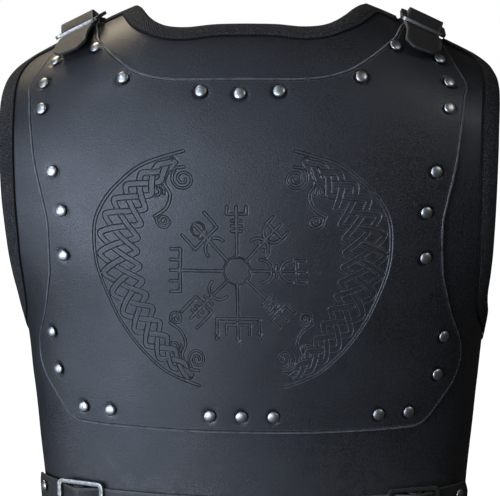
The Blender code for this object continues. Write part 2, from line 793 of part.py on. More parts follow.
def turned(name, profile, sides, place, material, parts):
    """A solid of revolution from (radius, height) points, both ends on the axis."""
    bm = bmesh.new()
    rings = []
    for radius, height in profile:
        if radius < TINY:
            rings.append([bm.verts.new((0.0, 0.0, height))])
            continue
        rings.append([bm.verts.new((radius * math.cos(math.tau * i / sides),
                                    radius * math.sin(math.tau * i / sides), height))
                      for i in range(sides)])
    for a, b in zip(rings, rings[1:]):
        for i in range(sides):
            j = (i + 1) % sides
            corners = [a[i % len(a)], a[j % len(a)], b[j % len(b)], b[i % len(b)]]
            bm.faces.new(list(dict.fromkeys(corners)))
    bmesh.ops.transform(bm, matrix=place, verts=bm.verts)
    finish(name, bm, material, parts)


def make_rivet(name, torso, across, down, cap_base, materials, parts):
    """A domed rivet whose cap sits at a height above the body panel."""
    back = -BODY_LEATHER - RIVET_BACK_GAP
    profile = ((0.0, back - RIVET_BACK_HEIGHT), (RIVET_BACK_RADIUS, back), (RIVET_SHANK, back),
               (RIVET_SHANK, cap_base), (RIVET_RADIUS, cap_base),
               (RIVET_RADIUS * RIVET_EASE, cap_base + RIVET_HEIGHT * RIVET_EASE),
               (0.0, cap_base + RIVET_HEIGHT))
    place = torso.stand(across, down)
    turned(name, profile, RIVET_SIDES, place, materials["nickel"], parts)


def make_rivets(torso, materials, parts):
    """Rivets through both leathers, and those of the waist tabs."""
    for name, across, down in rivet_places(torso):
        make_rivet(name, torso, across, down, GAP + CHEST_LEATHER + RIVET_CAP_GAP, materials, parts)
    for name, across, down in waist_rivet_places():
        make_rivet(name, torso, across, down,
                   2.0 * GAP + 2.0 * STRAP_LEATHER + RIVET_CAP_GAP, materials, parts)


def buckle_frame(name, place, materials, parts):
    """A flat frame with a middle bar: Y runs along the strap and Z outwards."""
    inside_x = STRAP_WIDTH / 2.0 + STRAP_SIDE_PLAY
    outside_x = inside_x + BUCKLE_BAR
    outside_y = BUCKLE_REACH + BUCKLE_BAR / 2.0
    inside_y = BUCKLE_REACH - BUCKLE_BAR / 2.0
    outline = []
    for x, y, start in ((1, 1, 0), (-1, 1, 90), (-1, -1, 180), (1, -1, 270)):
        for i in range(CORNER_STEPS + 1):
            turn = math.radians(start + 90.0 * i / CORNER_STEPS)
            outline.append((x * (outside_x - BUCKLE_CORNER) + BUCKLE_CORNER * math.cos(turn),
                            y * (outside_y - BUCKLE_CORNER) + BUCKLE_CORNER * math.sin(turn)))
    half = BUCKLE_THICKNESS / 2.0
    bm = flat_blank(name, outline, -half, half)
    windows = [((-inside_x, MIDDLE_BAR / 2.0, -2.0 * half), (inside_x, inside_y, 2.0 * half)),
               ((-inside_x, -inside_y, -2.0 * half), (inside_x, -MIDDLE_BAR / 2.0, 2.0 * half))]
    bm = box_cut(name, bm, windows, parts)
    bmesh.ops.transform(bm, matrix=place, verts=bm.verts)
    finish(name, bm, materials["steel"], parts)


def make_prong(name, place, materials, parts):
    """Wire that turns round the middle bar and rests on the bar behind it."""
    radius = ring_radius()
    line = []
    for degrees in range(PRONG_TURN[0], -1, -PRONG_TURN[1]):
        turn = math.radians(degrees)
        line.append((0.0, -radius * math.sin(turn), radius * math.cos(turn)))
    rest = BUCKLE_THICKNESS / 2.0 + PRONG_RADIUS + GAP
    line.append((0.0, BUCKLE_REACH + BUCKLE_BAR / 2.0, rest))
    curve = bpy.data.curves.new(name, "CURVE")
    curve.dimensions = "3D"
    curve.bevel_depth = PRONG_RADIUS
    curve.bevel_resolution = 1
    curve.use_fill_caps = True
    wire = curve.splines.new("POLY")
    wire.points.add(len(line) - 1)
    for point, spot in zip(wire.points, line):
        point.co = (*spot, 1.0)
    holder = bpy.data.objects.new(name, curve)
    bpy.context.scene.collection.objects.link(holder)
    bpy.context.view_layer.update()
    graph = bpy.context.evaluated_depsgraph_get()
    mesh = bpy.data.meshes.new_from_object(holder.evaluated_get(graph))
    bpy.data.objects.remove(holder)
    bpy.data.curves.remove(curve)
    bm = bmesh.new()
    bm.from_mesh(mesh)
    bpy.data.meshes.remove(mesh)
    bmesh.ops.transform(bm, matrix=place, verts=bm.verts)
    finish(name, bm, materials["steel"], parts)


def station(torso, across, down, out, axis):
    """A strap's middle and crosswise direction at a pattern place, for a spline."""
    place = (across, down, out)
    low, high = list(place), list(place)
    low[1 - axis] -= STRAP_STEP
    high[1 - axis] += STRAP_STEP
    over = (torso.point(*high) - torso.point(*low)).normalized()
    if axis == 0:
        over.negate()
    return (*torso.point(*place), *(over * CROSS_WEIGHT))


def buckle_stations(place, leather, sense, rear_drop):
    """A strap's stations through a buckle, from the rear bar to the front one."""
    crest = FOLD_INSIDE + leather + CREST_PLAY + STRAP_LEATHER / 2.0
    under = BUCKLE_THICKNESS / 2.0 + BAR_PLAY + STRAP_LEATHER / 2.0
    over = place.to_3x3().col[0].normalized() * (sense * CROSS_WEIGHT)
    result = []
    for row in rows(BUCKLE_PATH_COLUMNS, BUCKLE_PATH):
        low = under + (rear_drop if row["along"] > 0.0 else 0.0)
        height = row["height"] * (crest + low) - low
        middle = place @ Vector((0.0, row["along"] * BUCKLE_REACH, height))
        result.append((*middle, *over))
    return result


def length_at(place, stations, lengths, value):
    """Length along a strap where it passes a distance from a buckle's middle bar."""
    inverse = place.inverted()
    alongs = [(inverse @ Vector(spot[:3])).y for spot in stations]
    for a, b, start, end in zip(alongs, alongs[1:], lengths, lengths[1:]):
        if min(a, b) <= value <= max(a, b) and abs(b - a) > TINY:
            return start + (end - start) * (value - a) / (b - a)
    raise ValueError("the strap does not pass that place")


def lay_strap(name, stations, both_tips, buckles, cutters, materials, parts):
    """A flat strap with prong slots, bent along its stations."""
    lengths = [0.0]
    for a, b in zip(stations, stations[1:]):
        lengths.append(lengths[-1] + math.dist(a[:3], b[:3]))
    half, total, cut = STRAP_WIDTH / 2.0, lengths[-1], STRAP_TIP_CHAMFER
    outline = [(half, total - cut), (half - cut, total), (cut - half, total), (-half, total - cut)]
    if both_tips:
        outline += [(-half, cut), (cut - half, 0.0), (half - cut, 0.0), (half, cut)]
    else:
        outline += [(-half, 0.0), (half, 0.0)]
    thick = STRAP_LEATHER / 2.0
    bm = flat_blank(name, outline, -thick, thick)
    cut_lines(bm, 1, lengths[1:-1])
    boxes = []
    for place in buckles:
        ends = sorted(length_at(place, stations, lengths, share * BUCKLE_REACH)
                      for share in PRONG_SLOT_ENDS)
        boxes.append(((-PRONG_SLOT / 2.0, ends[0], -STRAP_LEATHER),
                      (PRONG_SLOT / 2.0, ends[1], STRAP_LEATHER)))
    bm = box_cut(name, bm, boxes, cutters)
    middles = [Vector(spot[:3]) for spot in stations]
    overs = [Vector(spot[3:]).normalized() for spot in stations]
    outs = []
    for i, over in enumerate(overs):
        run = middles[min(i + 1, len(middles) - 1)] - middles[max(i - 1, 0)]
        outs.append(over.cross(run).normalized())
    for vert in bm.verts:
        x, length, height = vert.co
        low = min(max(bisect.bisect_right(lengths, length) - 1, 0), len(lengths) - 2)
        share = (length - lengths[low]) / (lengths[low + 1] - lengths[low])
        spot = middles[low].lerp(middles[low + 1], share)
        spot += overs[low].lerp(overs[low + 1], share) * x
        vert.co = spot + outs[low].lerp(outs[low + 1], share) * height
    finish(name, bm, materials["strap"], parts)


def make_shoulder(torso, word, side, cutters, materials, parts):
    """One shoulder's buckle, prong and strap."""
    across, bar = side * SHOULDER_STRAP_ACROSS, SHOULDER_BAR_DOWN
    tilt = Matrix.Rotation(-SHOULDER_TILT, 4, "X")
    place = torso.frame(across, bar, fold_height(GAP, CHEST_LEATHER)) @ tilt
    buckle_frame("shoulder_buckle_" + word, place, materials, parts)
    make_prong("shoulder_prong_" + word, place, materials, parts)
    tail = [station(torso, across, bar - row["along"] * SHOULDER_TAIL, row["out"], 1)
            for row in rows(SHOULDER_TAIL_COLUMNS, SHOULDER_TAIL_LINE)]
    tip = [station(torso, across, bar + row["along"] * SHOULDER_TIP, row["out"], 1)
           for row in rows(SHOULDER_TIP_COLUMNS, SHOULDER_TIP_LINE)]
    stations = tail[::-1] + buckle_stations(place, CHEST_LEATHER, 1.0, REAR_DROP) + tip[::-1]
    lay_strap("shoulder_strap_" + word, spline(stations, STRAP_STEP), False, [place],
              cutters, materials, parts)


def make_waist_tab(torso, word, side, cutters, materials, parts):
    """A tab riveted at the side and folded round the middle bar of its buckle."""
    start = waist_bar(side)
    middle = FOLD_INSIDE + STRAP_LEATHER / 2.0
    bar_height = fold_height(GAP, STRAP_LEATHER)
    wide = torso.stretch((start, WAIST_DOWN, bar_height), 0)
    turn = math.pi * middle / wide
    half, inset, cut = WAIST_TAB_WIDTH / 2.0, TAB_RETURN_INSET, WAIST_TAB_CHAMFER
    inner = -turn - WAIST_TAB_LENGTH
    outline = [(WAIST_RETURN_LENGTH, half - inset - cut), (WAIST_RETURN_LENGTH - cut, half - inset),
               (TAB_NARROWS[1] * WAIST_RETURN_LENGTH, half - inset),
               (TAB_NARROWS[0] * WAIST_RETURN_LENGTH, half),
               (inner + cut, half), (inner, half - cut)]
    outline += [(x, -y) for x, y in reversed(outline)]
    low, high = GAP, GAP + STRAP_LEATHER
    bm = flat_blank("tab", outline, low, high)
    cut_lines(bm, 0, fold_cuts(0.0, -1.0, turn))
    ramp = [WAIST_RAMP[0] + (WAIST_RAMP[1] - WAIST_RAMP[0]) * i / RAMP_STEPS
            for i in range(RAMP_STEPS + 1)]
    cut_lines(bm, 0, [-turn - value * BUCKLE_REACH for value in ramp])
    for line in torso.across_lines:
        past = (line - start) * side
        if past > 0.0:
            cut_lines(bm, 0, [past, -turn - past])
    cut_lines(bm, 1, [line - WAIST_DOWN for line in torso.down_lines])
    room = (ring_radius() + PRONG_RADIUS + 2.0 * FIT) / wide
    slot = ((-turn - room, -PRONG_SLOT / 2.0, low - high), (room, PRONG_SLOT / 2.0, 2.0 * high))
    bm = box_cut("tab", bm, [slot], cutters)
    backs = [vert for vert in bm.verts if vert.co.x < -turn - TINY]
    lengths = {vert: -turn - vert.co.x for vert in backs}
    fold_over(bm, 0, 0.0, -1.0, bar_height, middle, wide)
    for vert, length in lengths.items():
        share = (length / BUCKLE_REACH - WAIST_RAMP[0]) / (WAIST_RAMP[1] - WAIST_RAMP[0])
        share = min(max(share, 0.0), 1.0)
        vert.co.z -= (2.0 * FOLD_INSIDE - GAP) * share * share * (3.0 - 2.0 * share)
    for vert in bm.verts:
        vert.co.x = start + side * vert.co.x
        vert.co.y += WAIST_DOWN
    form(torso, bm)
    places = [torso.stand(across, down) for _, across, down in waist_rivet_places()
              if across * side > 0.0]
    bm = drill("waist_tab", bm, places, cutters)
    finish("waist_tab_" + word, bm, materials["strap"], parts)


def make_waist(torso, cutters, materials, parts):
    """The tabs, buckles and prongs at the waist, and the belt between them."""
    flat = GAP + STRAP_LEATHER / 2.0
    halves, places = [], []
    for word, side in SIDES:
        make_waist_tab(torso, word, side, cutters, materials, parts)
        spin = Matrix.Rotation(side * math.pi / 2.0, 4, "Z")
        tilt = Matrix.Rotation(-WAIST_TILT, 4, "X")
        bar_height = fold_height(GAP, STRAP_LEATHER)
        place = torso.frame(waist_bar(side), WAIST_DOWN, bar_height) @ spin @ tilt
        buckle_frame("waist_buckle_" + word, place, materials, parts)
        make_prong("waist_prong_" + word, place, materials, parts)
        through = buckle_stations(place, STRAP_LEATHER, side, 0.0)
        halves.append(spline(through, STRAP_STEP))
        places.append(place)
    reach = WAIST_BAR_ACROSS - BELLY_START * BUCKLE_REACH
    belly = [station(torso, line, WAIST_DOWN, flat, 0)
             for line in torso.across_lines if abs(line) < reach]
    stations = halves[0][::-1] + belly + halves[1]
    lay_strap("waist_strap", stations, True, places, cutters, materials, parts)


def main():
    """Build every piece."""
    for thing in list(bpy.data.objects):
        bpy.data.objects.remove(thing)
    parts = bpy.data.collections.new("leather_breastplate")
    cutters = bpy.data.collections.new("cutters")
    bpy.context.scene.collection.children.link(parts)
    bpy.context.scene.collection.children.link(cutters)
    materials = {
        "leather": surface_material("black_leather", BLACK_LEATHER, 0.45, 0.0),
        "strap": surface_material("strap_leather", STRAP_COLOUR, 0.50, 0.0),
        "tape": surface_material("woven_tape", TAPE_COLOUR, 0.85, 0.0),
        "nickel": surface_material("nickel_rivets", NICKEL, 0.25, 1.0),
        "steel": surface_material("buckle_steel", STEEL, 0.35, 1.0),
    }
    torso = Torso()
    make_body_panel(torso, materials, parts, cutters)
    make_chest_panel(torso, materials, parts, cutters)
    make_bindings(torso, materials, parts)
    make_rivets(torso, materials, parts)
    for word, side in SIDES:
        make_shoulder(torso, word, side, cutters, materials, parts)
    make_waist(torso, cutters, materials, parts)


main()
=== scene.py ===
"""Leather breastplate, dressed over its solids.

Each leather piece is cut on a flat pattern and formed over the torso, as the real armour is.
Lengths are metres, +Z is up, the front faces -Y and the origin lies between the shoulders.
A place on the pattern is (across, down, out): across runs round the chest from the centre
line, down runs below the shoulder line and out is the height above the body leather.
"""

import math

import bmesh
import bpy
import numpy as np
from mathutils import Matrix, Vector
from mathutils.geometry import delaunay_2d_cdt
from mathutils.kdtree import KDTree


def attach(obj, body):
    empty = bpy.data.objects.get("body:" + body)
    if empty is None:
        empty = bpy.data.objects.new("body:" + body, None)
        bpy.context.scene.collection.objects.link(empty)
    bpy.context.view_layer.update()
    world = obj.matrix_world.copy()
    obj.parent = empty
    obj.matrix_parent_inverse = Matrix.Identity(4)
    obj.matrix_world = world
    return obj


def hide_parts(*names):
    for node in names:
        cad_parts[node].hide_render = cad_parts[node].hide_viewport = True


bl_info = {
    "name": "Leather breastplate",
    "version": (1, 0, 0),
    "blender": (4, 5, 0),
    "location": "3D Viewport > Sidebar > Breastplate",
    "description": "Formed leather breastplate with a pressed chest panel, straps and a belt",
    "category": "Object",
}

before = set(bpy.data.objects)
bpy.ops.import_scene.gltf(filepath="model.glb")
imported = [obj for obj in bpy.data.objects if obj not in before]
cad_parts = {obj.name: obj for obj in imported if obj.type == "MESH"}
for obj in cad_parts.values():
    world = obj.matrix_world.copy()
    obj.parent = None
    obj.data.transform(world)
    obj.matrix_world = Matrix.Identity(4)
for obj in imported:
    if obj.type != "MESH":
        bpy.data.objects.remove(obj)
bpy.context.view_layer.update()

MM = 0.001
SIDES = (("left", -1.0), ("right", 1.0))

# Torso that the leather is formed over, the same as the solids'
PANEL_HEIGHT = 0.500
CHEST_HALF_WIDTH = 0.228
CHEST_DEPTH = 0.130
SHOULDER_SLOPE = 0.50
SLOPE_START = 0.080
SLOPE_EASE = 0.020
CHEST_ROUNDNESS = 0.85
PATTERN_GIRTH = 1.06
ANGLE_STEP = math.radians(0.125)
ANGLE_COUNT = 841
SMALL_STEP = 0.0005

# Stock and fits, the same as the solids'
BODY_LEATHER = 0.0030
CHEST_LEATHER = 0.0026
STRAP_LEATHER = 0.0022
TAPE_THICKNESS = 0.0010
TAPE_WIDTH = 0.0140
GAP = 0.0003
TAPE_EDGE_GAP = 0.0006
FIT = 0.0004
RIVET_SHANK = 0.0018
RIVET_BACK_RADIUS = 0.0040
RIVET_BACK_HEIGHT = 0.0010
RIVET_BACK_GAP = 0.0008
STRAP_WIDTH = 0.0320
STRAP_SIDE_PLAY = 0.0015
BUCKLE_BAR = 0.0035
BUCKLE_THICKNESS = 0.0018
BUCKLE_REACH = 0.0220
BUCKLE_CORNER = 0.0050
FRAME_HEIGHT = 0.0029
MIDDLE_BAR = 0.0024
SHOULDER_TILT = math.radians(6.0)
WAIST_TILT = math.radians(6.3)
CREST_PLAY = 0.0006
REAR_DROP = 0.0013
FOLD_INSIDE = 0.0029
BAR_PLAY = 0.0004
PRONG_RADIUS = 0.0011
PRONG_SLOT = 0.0060
SHOULDER_STRAP_ACROSS = 0.146
SHOULDER_BAR_DOWN = 0.0215
SHOULDER_TAIL = 0.125
SHOULDER_TIP = 0.0595
STRAP_TIP = 0.0110
TIP_SWING = 0.010
WAIST_DOWN = 0.503
WAIST_TAB_WIDTH = 0.034
WAIST_BAR_ACROSS = 0.184
WAIST_TAB_LENGTH = 0.087
WAIST_RETURN_LENGTH = 0.071
WAIST_RIVET_FROM_BAR = 0.061
WAIST_RIVET_SPACING = 0.0150
WAIST_TAB_CHAMFER = 0.011
WAIST_RAMP = (0.04, 0.56)
BELLY_START = 1.35
PRONG_SLOT_ENDS = (0.05, 0.86)
TAB_RETURN_INSET = 0.003
TAB_NARROWS = (0.20, 0.35)
TONGUE_START = 0.50
PRONG_TURN = math.radians(250.0)

# Sections: drop, width, depth and slope as shares of the sizes above
TORSO = (
    (0.000, 1.080, 0.120, 1.00),
    (0.012, 1.090, 0.300, 0.98),
    (0.030, 1.100, 0.480, 0.92),
    (0.060, 1.120, 0.660, 0.82),
    (0.105, 1.140, 0.810, 0.66),
    (0.170, 1.160, 0.925, 0.42),
    (0.250, 1.160, 0.985, 0.20),
    (0.340, 1.125, 1.000, 0.06),
    (0.440, 1.045, 0.985, 0.00),
    (0.560, 0.922, 0.940, 0.00),
    (0.680, 0.886, 0.890, 0.00),
    (0.790, 0.862, 0.855, 0.00),
    (0.890, 0.842, 0.850, 0.00),
    (1.000, 0.832, 0.880, 0.00),
)

# Outlines of one half: across and down as shares of the pattern, 1 at a sharp corner
BODY_OUTLINE = (
    (0.000, 0.136, 0), (0.082, 0.137, 0), (0.150, 0.143, 0), (0.206, 0.140, 0),
    (0.246, 0.127, 0), (0.276, 0.106, 0), (0.299, 0.077, 0), (0.316, 0.050, 0),
    (0.330, 0.030, 1), (0.480, 0.029, 0), (0.615, 0.030, 0), (0.660, 0.040, 0),
    (0.688, 0.066, 0), (0.698, 0.104, 0), (0.693, 0.150, 0), (0.682, 0.195, 0),
    (0.668, 0.245, 0), (0.662, 0.295, 0), (0.668, 0.355, 0), (0.690, 0.420, 0),
    (0.730, 0.482, 0), (0.785, 0.538, 0), (0.860, 0.585, 0), (1.000, 0.625, 1),
)
CHEST_OUTLINE = (
    (0.000, 0.2351, 0), (0.093, 0.2356, 0), (0.169, 0.2351, 0), (0.232, 0.2297, 0),
    (0.279, 0.2172, 0), (0.327, 0.1904, 0), (0.368, 0.1582, 0), (0.396, 0.1305, 0),
    (0.419, 0.0849, 1),
)
CHEST_SIDE = (
    (0.530, 0.0626, 1), (0.547, 0.1037, 0), (0.564, 0.1430, 0), (0.583, 0.1752, 0),
    (0.586, 0.1966, 0), (0.573, 0.2306, 0), (0.559, 0.2932, 0), (0.553, 0.3486, 0),
    (0.546, 0.4201, 0), (0.553, 0.4612, 0), (0.592, 0.5220, 0), (0.639, 0.5604, 0),
    (0.695, 0.5989, 0), (0.742, 0.6292, 0), (0.761, 0.6525, 0), (0.760, 0.6757, 0),
    (0.740, 0.6990, 0), (0.707, 0.7195, 0), (0.660, 0.7463, 0), (0.634, 0.7580, 0),
    (0.604, 0.7660, 0), (0.557, 0.7678, 0), (0.463, 0.7687, 0), (0.199, 0.7705, 0),
    (0.000, 0.7705, 0),
)
CHEST_RIVETS = (
    (0.5159, 0.1477), (0.3948, 0.1555), (0.5335, 0.1970), (0.5249, 0.2533),
    (0.4970, 0.3681), (0.4894, 0.4326), (0.5209, 0.5027), (0.6712, 0.6271),
    (0.6616, 0.6864), (0.5657, 0.7420), (0.4595, 0.7431), (0.3006, 0.2302),
    (0.0972, 0.2562), (0.0000, 0.2599), (0.1065, 0.7445), (0.0000, 0.7447),
)

# Strap lines: share along the tip or tail, and height
SHOULDER_TIP_LINE = ((1.160, 0.0122), (0.820, 0.0098), (0.660, 0.0082))
SHOULDER_TAIL_LINE = ((0.290, -0.0065), (0.460, -0.0130), (0.640, -0.0250),
                      (0.820, -0.0440), (1.000, -0.0700))
BUCKLE_PATH = ((1.10, 0.00), (0.91, -0.01), (0.50, 0.55), (0.14, 0.94), (0.00, 1.00),
               (-0.14, 0.94), (-0.50, 0.55), (-0.91, -0.01), (-1.20, 0.00))

# Compass stave pressed into the chest: for each arm its direction in degrees, then its
# strokes in millimetres, with u out along the arm and v across it
STAVE_CENTRE = (-2.0, 291.0)
STAVE_FLARE = 0.0027
STAVE_RING = 11.5
STAVE = (
    (0, (("line", 11.5, 0, 58.2, 0), ("arc", 20.3, 9.5, -90, 90), ("line", 33.8, -4.6, 33.8, 4.6),
         ("arc", 46.5, 9.2, 90, 270), ("line", 50.6, -8.8, 50.6, 8.8),
         ("line", 50.6, -8.8, 58.2, -8.8), ("line", 50.6, 8.8, 58.2, 8.8))),
    (45, (("line", 11.5, 0, 55.0, 0), ("arc", 26.5, 8.8, -90, 90), ("arc", 45.6, 8.4, 90, 270),
          ("line", 47.6, -8.8, 47.6, 8.8), ("line", 47.6, -8.8, 55, -8.8),
          ("line", 47.6, 8.8, 55, 8.8), ("dot", 28.5, 4.2), ("dot", 28.5, -4.2))),
    (90, (("line", 11.5, 0, 53.5, 0), ("line", 47.4, -8.8, 47.4, 8.8),
          ("line", 47.4, -8.8, 53.5, -8.8), ("line", 47.4, 8.8, 53.5, 8.8),
          ("line", 41.8, -4.4, 41.8, 4.4), ("line", 37.5, -4.4, 37.5, 4.4),
          ("line", 33.2, -4.4, 33.2, 4.4))),
    (135, (("line", 11.5, 0, 53.0, 0), ("arc", 26.2, 9.0, -90, 90), ("ring", 48.8, 5.6),
           ("line", 38.2, -13.4, 38.2, 13.4), ("line", 38.2, -13.4, 55.2, -13.4),
           ("line", 38.2, 13.4, 55.2, 13.4), ("line", 42.4, -3.6, 42.4, 3.6))),
    (180, (("line", 11.5, 0, 49.6, 0), ("line", 49.6, -18, 49.6, 18), ("line", 49.6, -18, 58.2, -18),
           ("line", 49.6, -9, 58.2, -9), ("line", 49.6, 0, 58.2, 0), ("line", 49.6, 9, 58.2, 9),
           ("line", 49.6, 18, 58.2, 18))),
    (225, (("line", 11.5, 0, 57.5, 0), ("arc", 21.6, 9.0, -90, 90), ("line", 35.2, -4.6, 35.2, 4.6),
           ("line", 40.8, -9.7, 40.8, 9.7), ("line", 40.8, -9.7, 59.5, -9.7),
           ("line", 40.8, 9.7, 59.5, 9.7), ("line", 46.6, -4.4, 46.6, 4.4),
           ("line", 51.6, -4.4, 51.6, 4.4))),
    (270, (("line", 11.5, 0, 57.4, 0), ("line", 40.6, -18, 40.6, 18), ("line", 40.6, -18, 52, -18),
           ("line", 40.6, 18, 52, 18), ("line", 46.0, -9.6, 46.0, 9.6),
           ("line", 46.0, -9.6, 54, -9.6), ("line", 46.0, 9.6, 54, 9.6), ("dot", 53.4, -18),
           ("dot", 53.4, 18), ("dot", 57.8, -18), ("dot", 57.8, 18), ("dot", 58.0, 0))),
    (315, (("line", 11.5, 0, 58.5, 0), ("line", 34.8, -5, 34.8, 5), ("line", 39.2, -5, 39.2, 5),
           ("line", 43.6, -5, 43.6, 5), ("line", 48.6, -9, 48.6, 9),
           ("line", 48.6, -9, 58.5, -9), ("line", 48.6, 9, 58.5, 9))),
)

# Plaited crescents either side of the stave, for the lower left quarter, in millimetres of
# pattern: even from side to side and above and below the stave's centre
PLAIT_SPINE = ((-105, 291), (-102, 316), (-92, 338), (-76, 360), (-50, 382))
PLAIT_HALF = ((0.00, 2.0), (0.12, 8.0), (0.30, 15.0), (0.50, 18.0), (0.70, 15.0), (0.88, 8.0),
              (1.00, 2.0))
PLAIT_PERIODS = 5.0
PLAIT_STRANDS = 3
PLAIT_POINTED = 0.97
CRESCENT_EDGE = ((-127, 291), (-122, 325), (-112, 345), (-97, 362), (-74, 379), (-42, 390))
CRESCENT_HOOK = ((-68, 336), (-58, 343), (-54, 354), (-58, 364), (-53, 374), (-42, 377))
# Centre, first and last radius, first angle and turn in degrees
SCROLLS = (
    (-61, 332, 6.0, 1.6, 200, -560),
    (-65, 357, 6.5, 1.6, 20, -540),
    (-43, 367, 9.5, 1.8, 250, -620),
)
SCROLL_POINTS = 80

# Creased line inside the chest panel's edge
CREASE_INSET = 0.0021

# Share of full painted highlight on the shoulders of the pressed lines, and of wear and painted
# highlight down a piece's rounded edge
SHOULDER_PAINTED_GLINT = 0.30
EDGE_WEAR_AND_GLINT = (0.35, 1.0, 1.0, 0.75, 0.5, 0.4, 0.3)
EDGE_TURNS = (0.0, 30.0, 60.0, 90.0)

# Spacing of samples and mesh rows
TINY = 1e-7
BODY_STEP = 0.0030
BODY_HEM_STEP = 0.0040
CHEST_STEP = 0.0025
TONGUE_STEP = 0.0012
TAB_STEP = 0.0020
TAB_SLOT_STEP = 0.0015
TAB_MESH = 0.0022
STATION_STEP = 0.0095
STRAP_STEP = 0.0020
STRAP_ROW = 0.0014
STRAP_COLUMNS = 10
SPOT_GAP = 0.00036
STROKE_STEP = 0.0009
RIM_ROW = 2.2
SHARP_TURN = math.radians(50.0)
CORNER_ROOM = 1.15
MITRE_LIMIT = 0.3

# Strap tips: share of the width at the very end, how fast it widens, and the worn edge band
TIP_FLAT = 0.50
TIP_SPREAD = 0.62
TIP_CURVE = 0.8
STRAP_WORN_FROM = 0.0016
STRAP_WORN_OVER = 0.0012

# Metal: the cap's straight side, a buckle window's corners, its worn edges and the prong's wire
CAP_SIDE = 0.0003
TAB_RIVET_LIFT = 0.0005
WINDOW_CORNER = 0.0022
FRAME_ROUND = 0.0008
PRONG_SIDES = 12
PRONG_SPIN_STEPS = 14
PRONG_SHARES = (0.35, 0.55, 0.10)
PRONG_END = 0.7

# Stitches: pitch as a share of their length, thickness, and (share, width, lift) of one stitch
STITCH_PITCH = 1.25
STITCH_RADIUS = 0.00042
STITCH_MARGIN = 0.003
STITCH_SIDES = 6
STITCH_SHAPE = ((0.0, 0.0, -0.4), (0.12, 0.75, 0.0), (0.5, 1.0, 0.35), (0.88, 0.75, 0.0),
                (1.0, 0.0, -0.4))

# Stage: lights as name, place, size, share of the key light's power and colour
COOL, WARM, NEUTRAL = (0.68, 0.79, 1.0), (1.0, 0.86, 0.66), (0.92, 0.96, 1.0)
LIGHTS = (
    ("key_light", (-1.34, -1.50, -0.41), (0.9, 1.0), 1.00, COOL),
    ("near_light", (-0.70, -1.90, -0.28), (0.8, 0.9), 0.46, COOL),
    ("side_light", (-1.90, -0.55, -0.75), (0.6, 0.6), 0.22, COOL),
    ("top_light", (-0.85, -0.8, 1.40), (1.2, 1.0), 0.10, COOL),
    ("right_light", (1.50, -0.95, 0.85), (0.6, 0.6), 0.20, NEUTRAL),
    ("glint_light", (-1.10, -1.15, 0.95), (0.30, 0.30), 0.24, COOL),
    ("warm_light", (-0.9, 0.9, 1.3), (0.9, 0.7), 0.50, WARM),
)
LIGHT_AIM = (0.0, -0.05, -0.25)
FLOOR_SIZE = 60.0
SENSOR_WIDTH = 36.0
LENS = 112.75


def length_setting(name, description, default, low, high):
    """A length in the panel."""
    return bpy.props.FloatProperty(name=name, description=description, default=default, min=low,
                                   max=high, unit="LENGTH")


def colour_setting(name, description, default):
    """A colour in the panel."""
    return bpy.props.FloatVectorProperty(name=name, description=description, default=default,
                                         subtype="COLOR", min=0.0, max=1.0)


class LeatherSettings(bpy.types.PropertyGroup):
    """Sizes and colours of the formed leather."""
    edge_round: length_setting(
        "Edge Rounding", "Radius of the burnished cut edges", 0.0009, 0.0002, 0.0012)
    mesh_size: length_setting(
        "Mesh Size", "Spacing of the mesh over plain leather", 0.0050, 0.003, 0.02)
    band: length_setting(
        "Band Width", "Width between the two lines of a pressed band", 0.0023, 0.001, 0.005)
    line: length_setting("Line Width", "Half width of a pressed line", 0.00066, 0.0003, 0.001)
    press: length_setting("Press Depth", "Depth of a pressed line", 0.00052, 0.0, 0.0015)
    dimple: length_setting(
        "Dimple Depth", "How far a rivet draws the leather in", 0.0006, 0.0, 0.0015)
    waviness: length_setting(
        "Waviness", "Height of the broad unevenness of formed leather", 0.00018, 0.0, 0.002)
    dark: colour_setting("Dark Colour", "Colour of the dyed leather", (0.0085, 0.0087, 0.0098))
    light: colour_setting("Light Colour", "Colour where the dye is thinner", (0.023, 0.024, 0.0265))
    grain: bpy.props.FloatProperty(
        name="Grain", description="Grains in each metre", default=1350.0, min=100.0, max=3000.0)


class TapeSettings(bpy.types.PropertyGroup):
    """Sizes and colours of the woven edge tape."""
    seam: length_setting(
        "Seam", "Distance of the sewn line from the tape's inner edge", 0.0030, 0.001, 0.006)
    stitch: length_setting("Stitch", "Length of one stitch", 0.0026, 0.001, 0.006)
    colour: colour_setting("Colour", "Colour of the tape's threads", (0.046, 0.044, 0.042))


class MetalSettings(bpy.types.PropertyGroup):
    """Sizes and colours of the rivets and buckles."""
    rivet_radius: length_setting("Rivet Radius", "Radius of a rivet's dome", 0.0050, 0.003, 0.008)
    rivet_height: length_setting("Rivet Height", "Height of a rivet's dome", 0.0017, 0.001, 0.005)
    nickel: colour_setting("Nickel", "Colour of the rivets", (0.72, 0.72, 0.68))
    steel: colour_setting("Steel", "Colour of the buckles", (0.36, 0.355, 0.32))


class StrapSettings(bpy.types.PropertyGroup):
    """Sizes and colours of the straps."""
    thickness: length_setting("Thickness", "Thickness of a strap", 0.0026, 0.0015, 0.004)
    edge_round: length_setting("Edge Rounding", "Radius of a strap's edges", 0.0006, 0.0002, 0.001)
    colour: colour_setting("Colour", "Colour of the straps", (0.030, 0.028, 0.027))


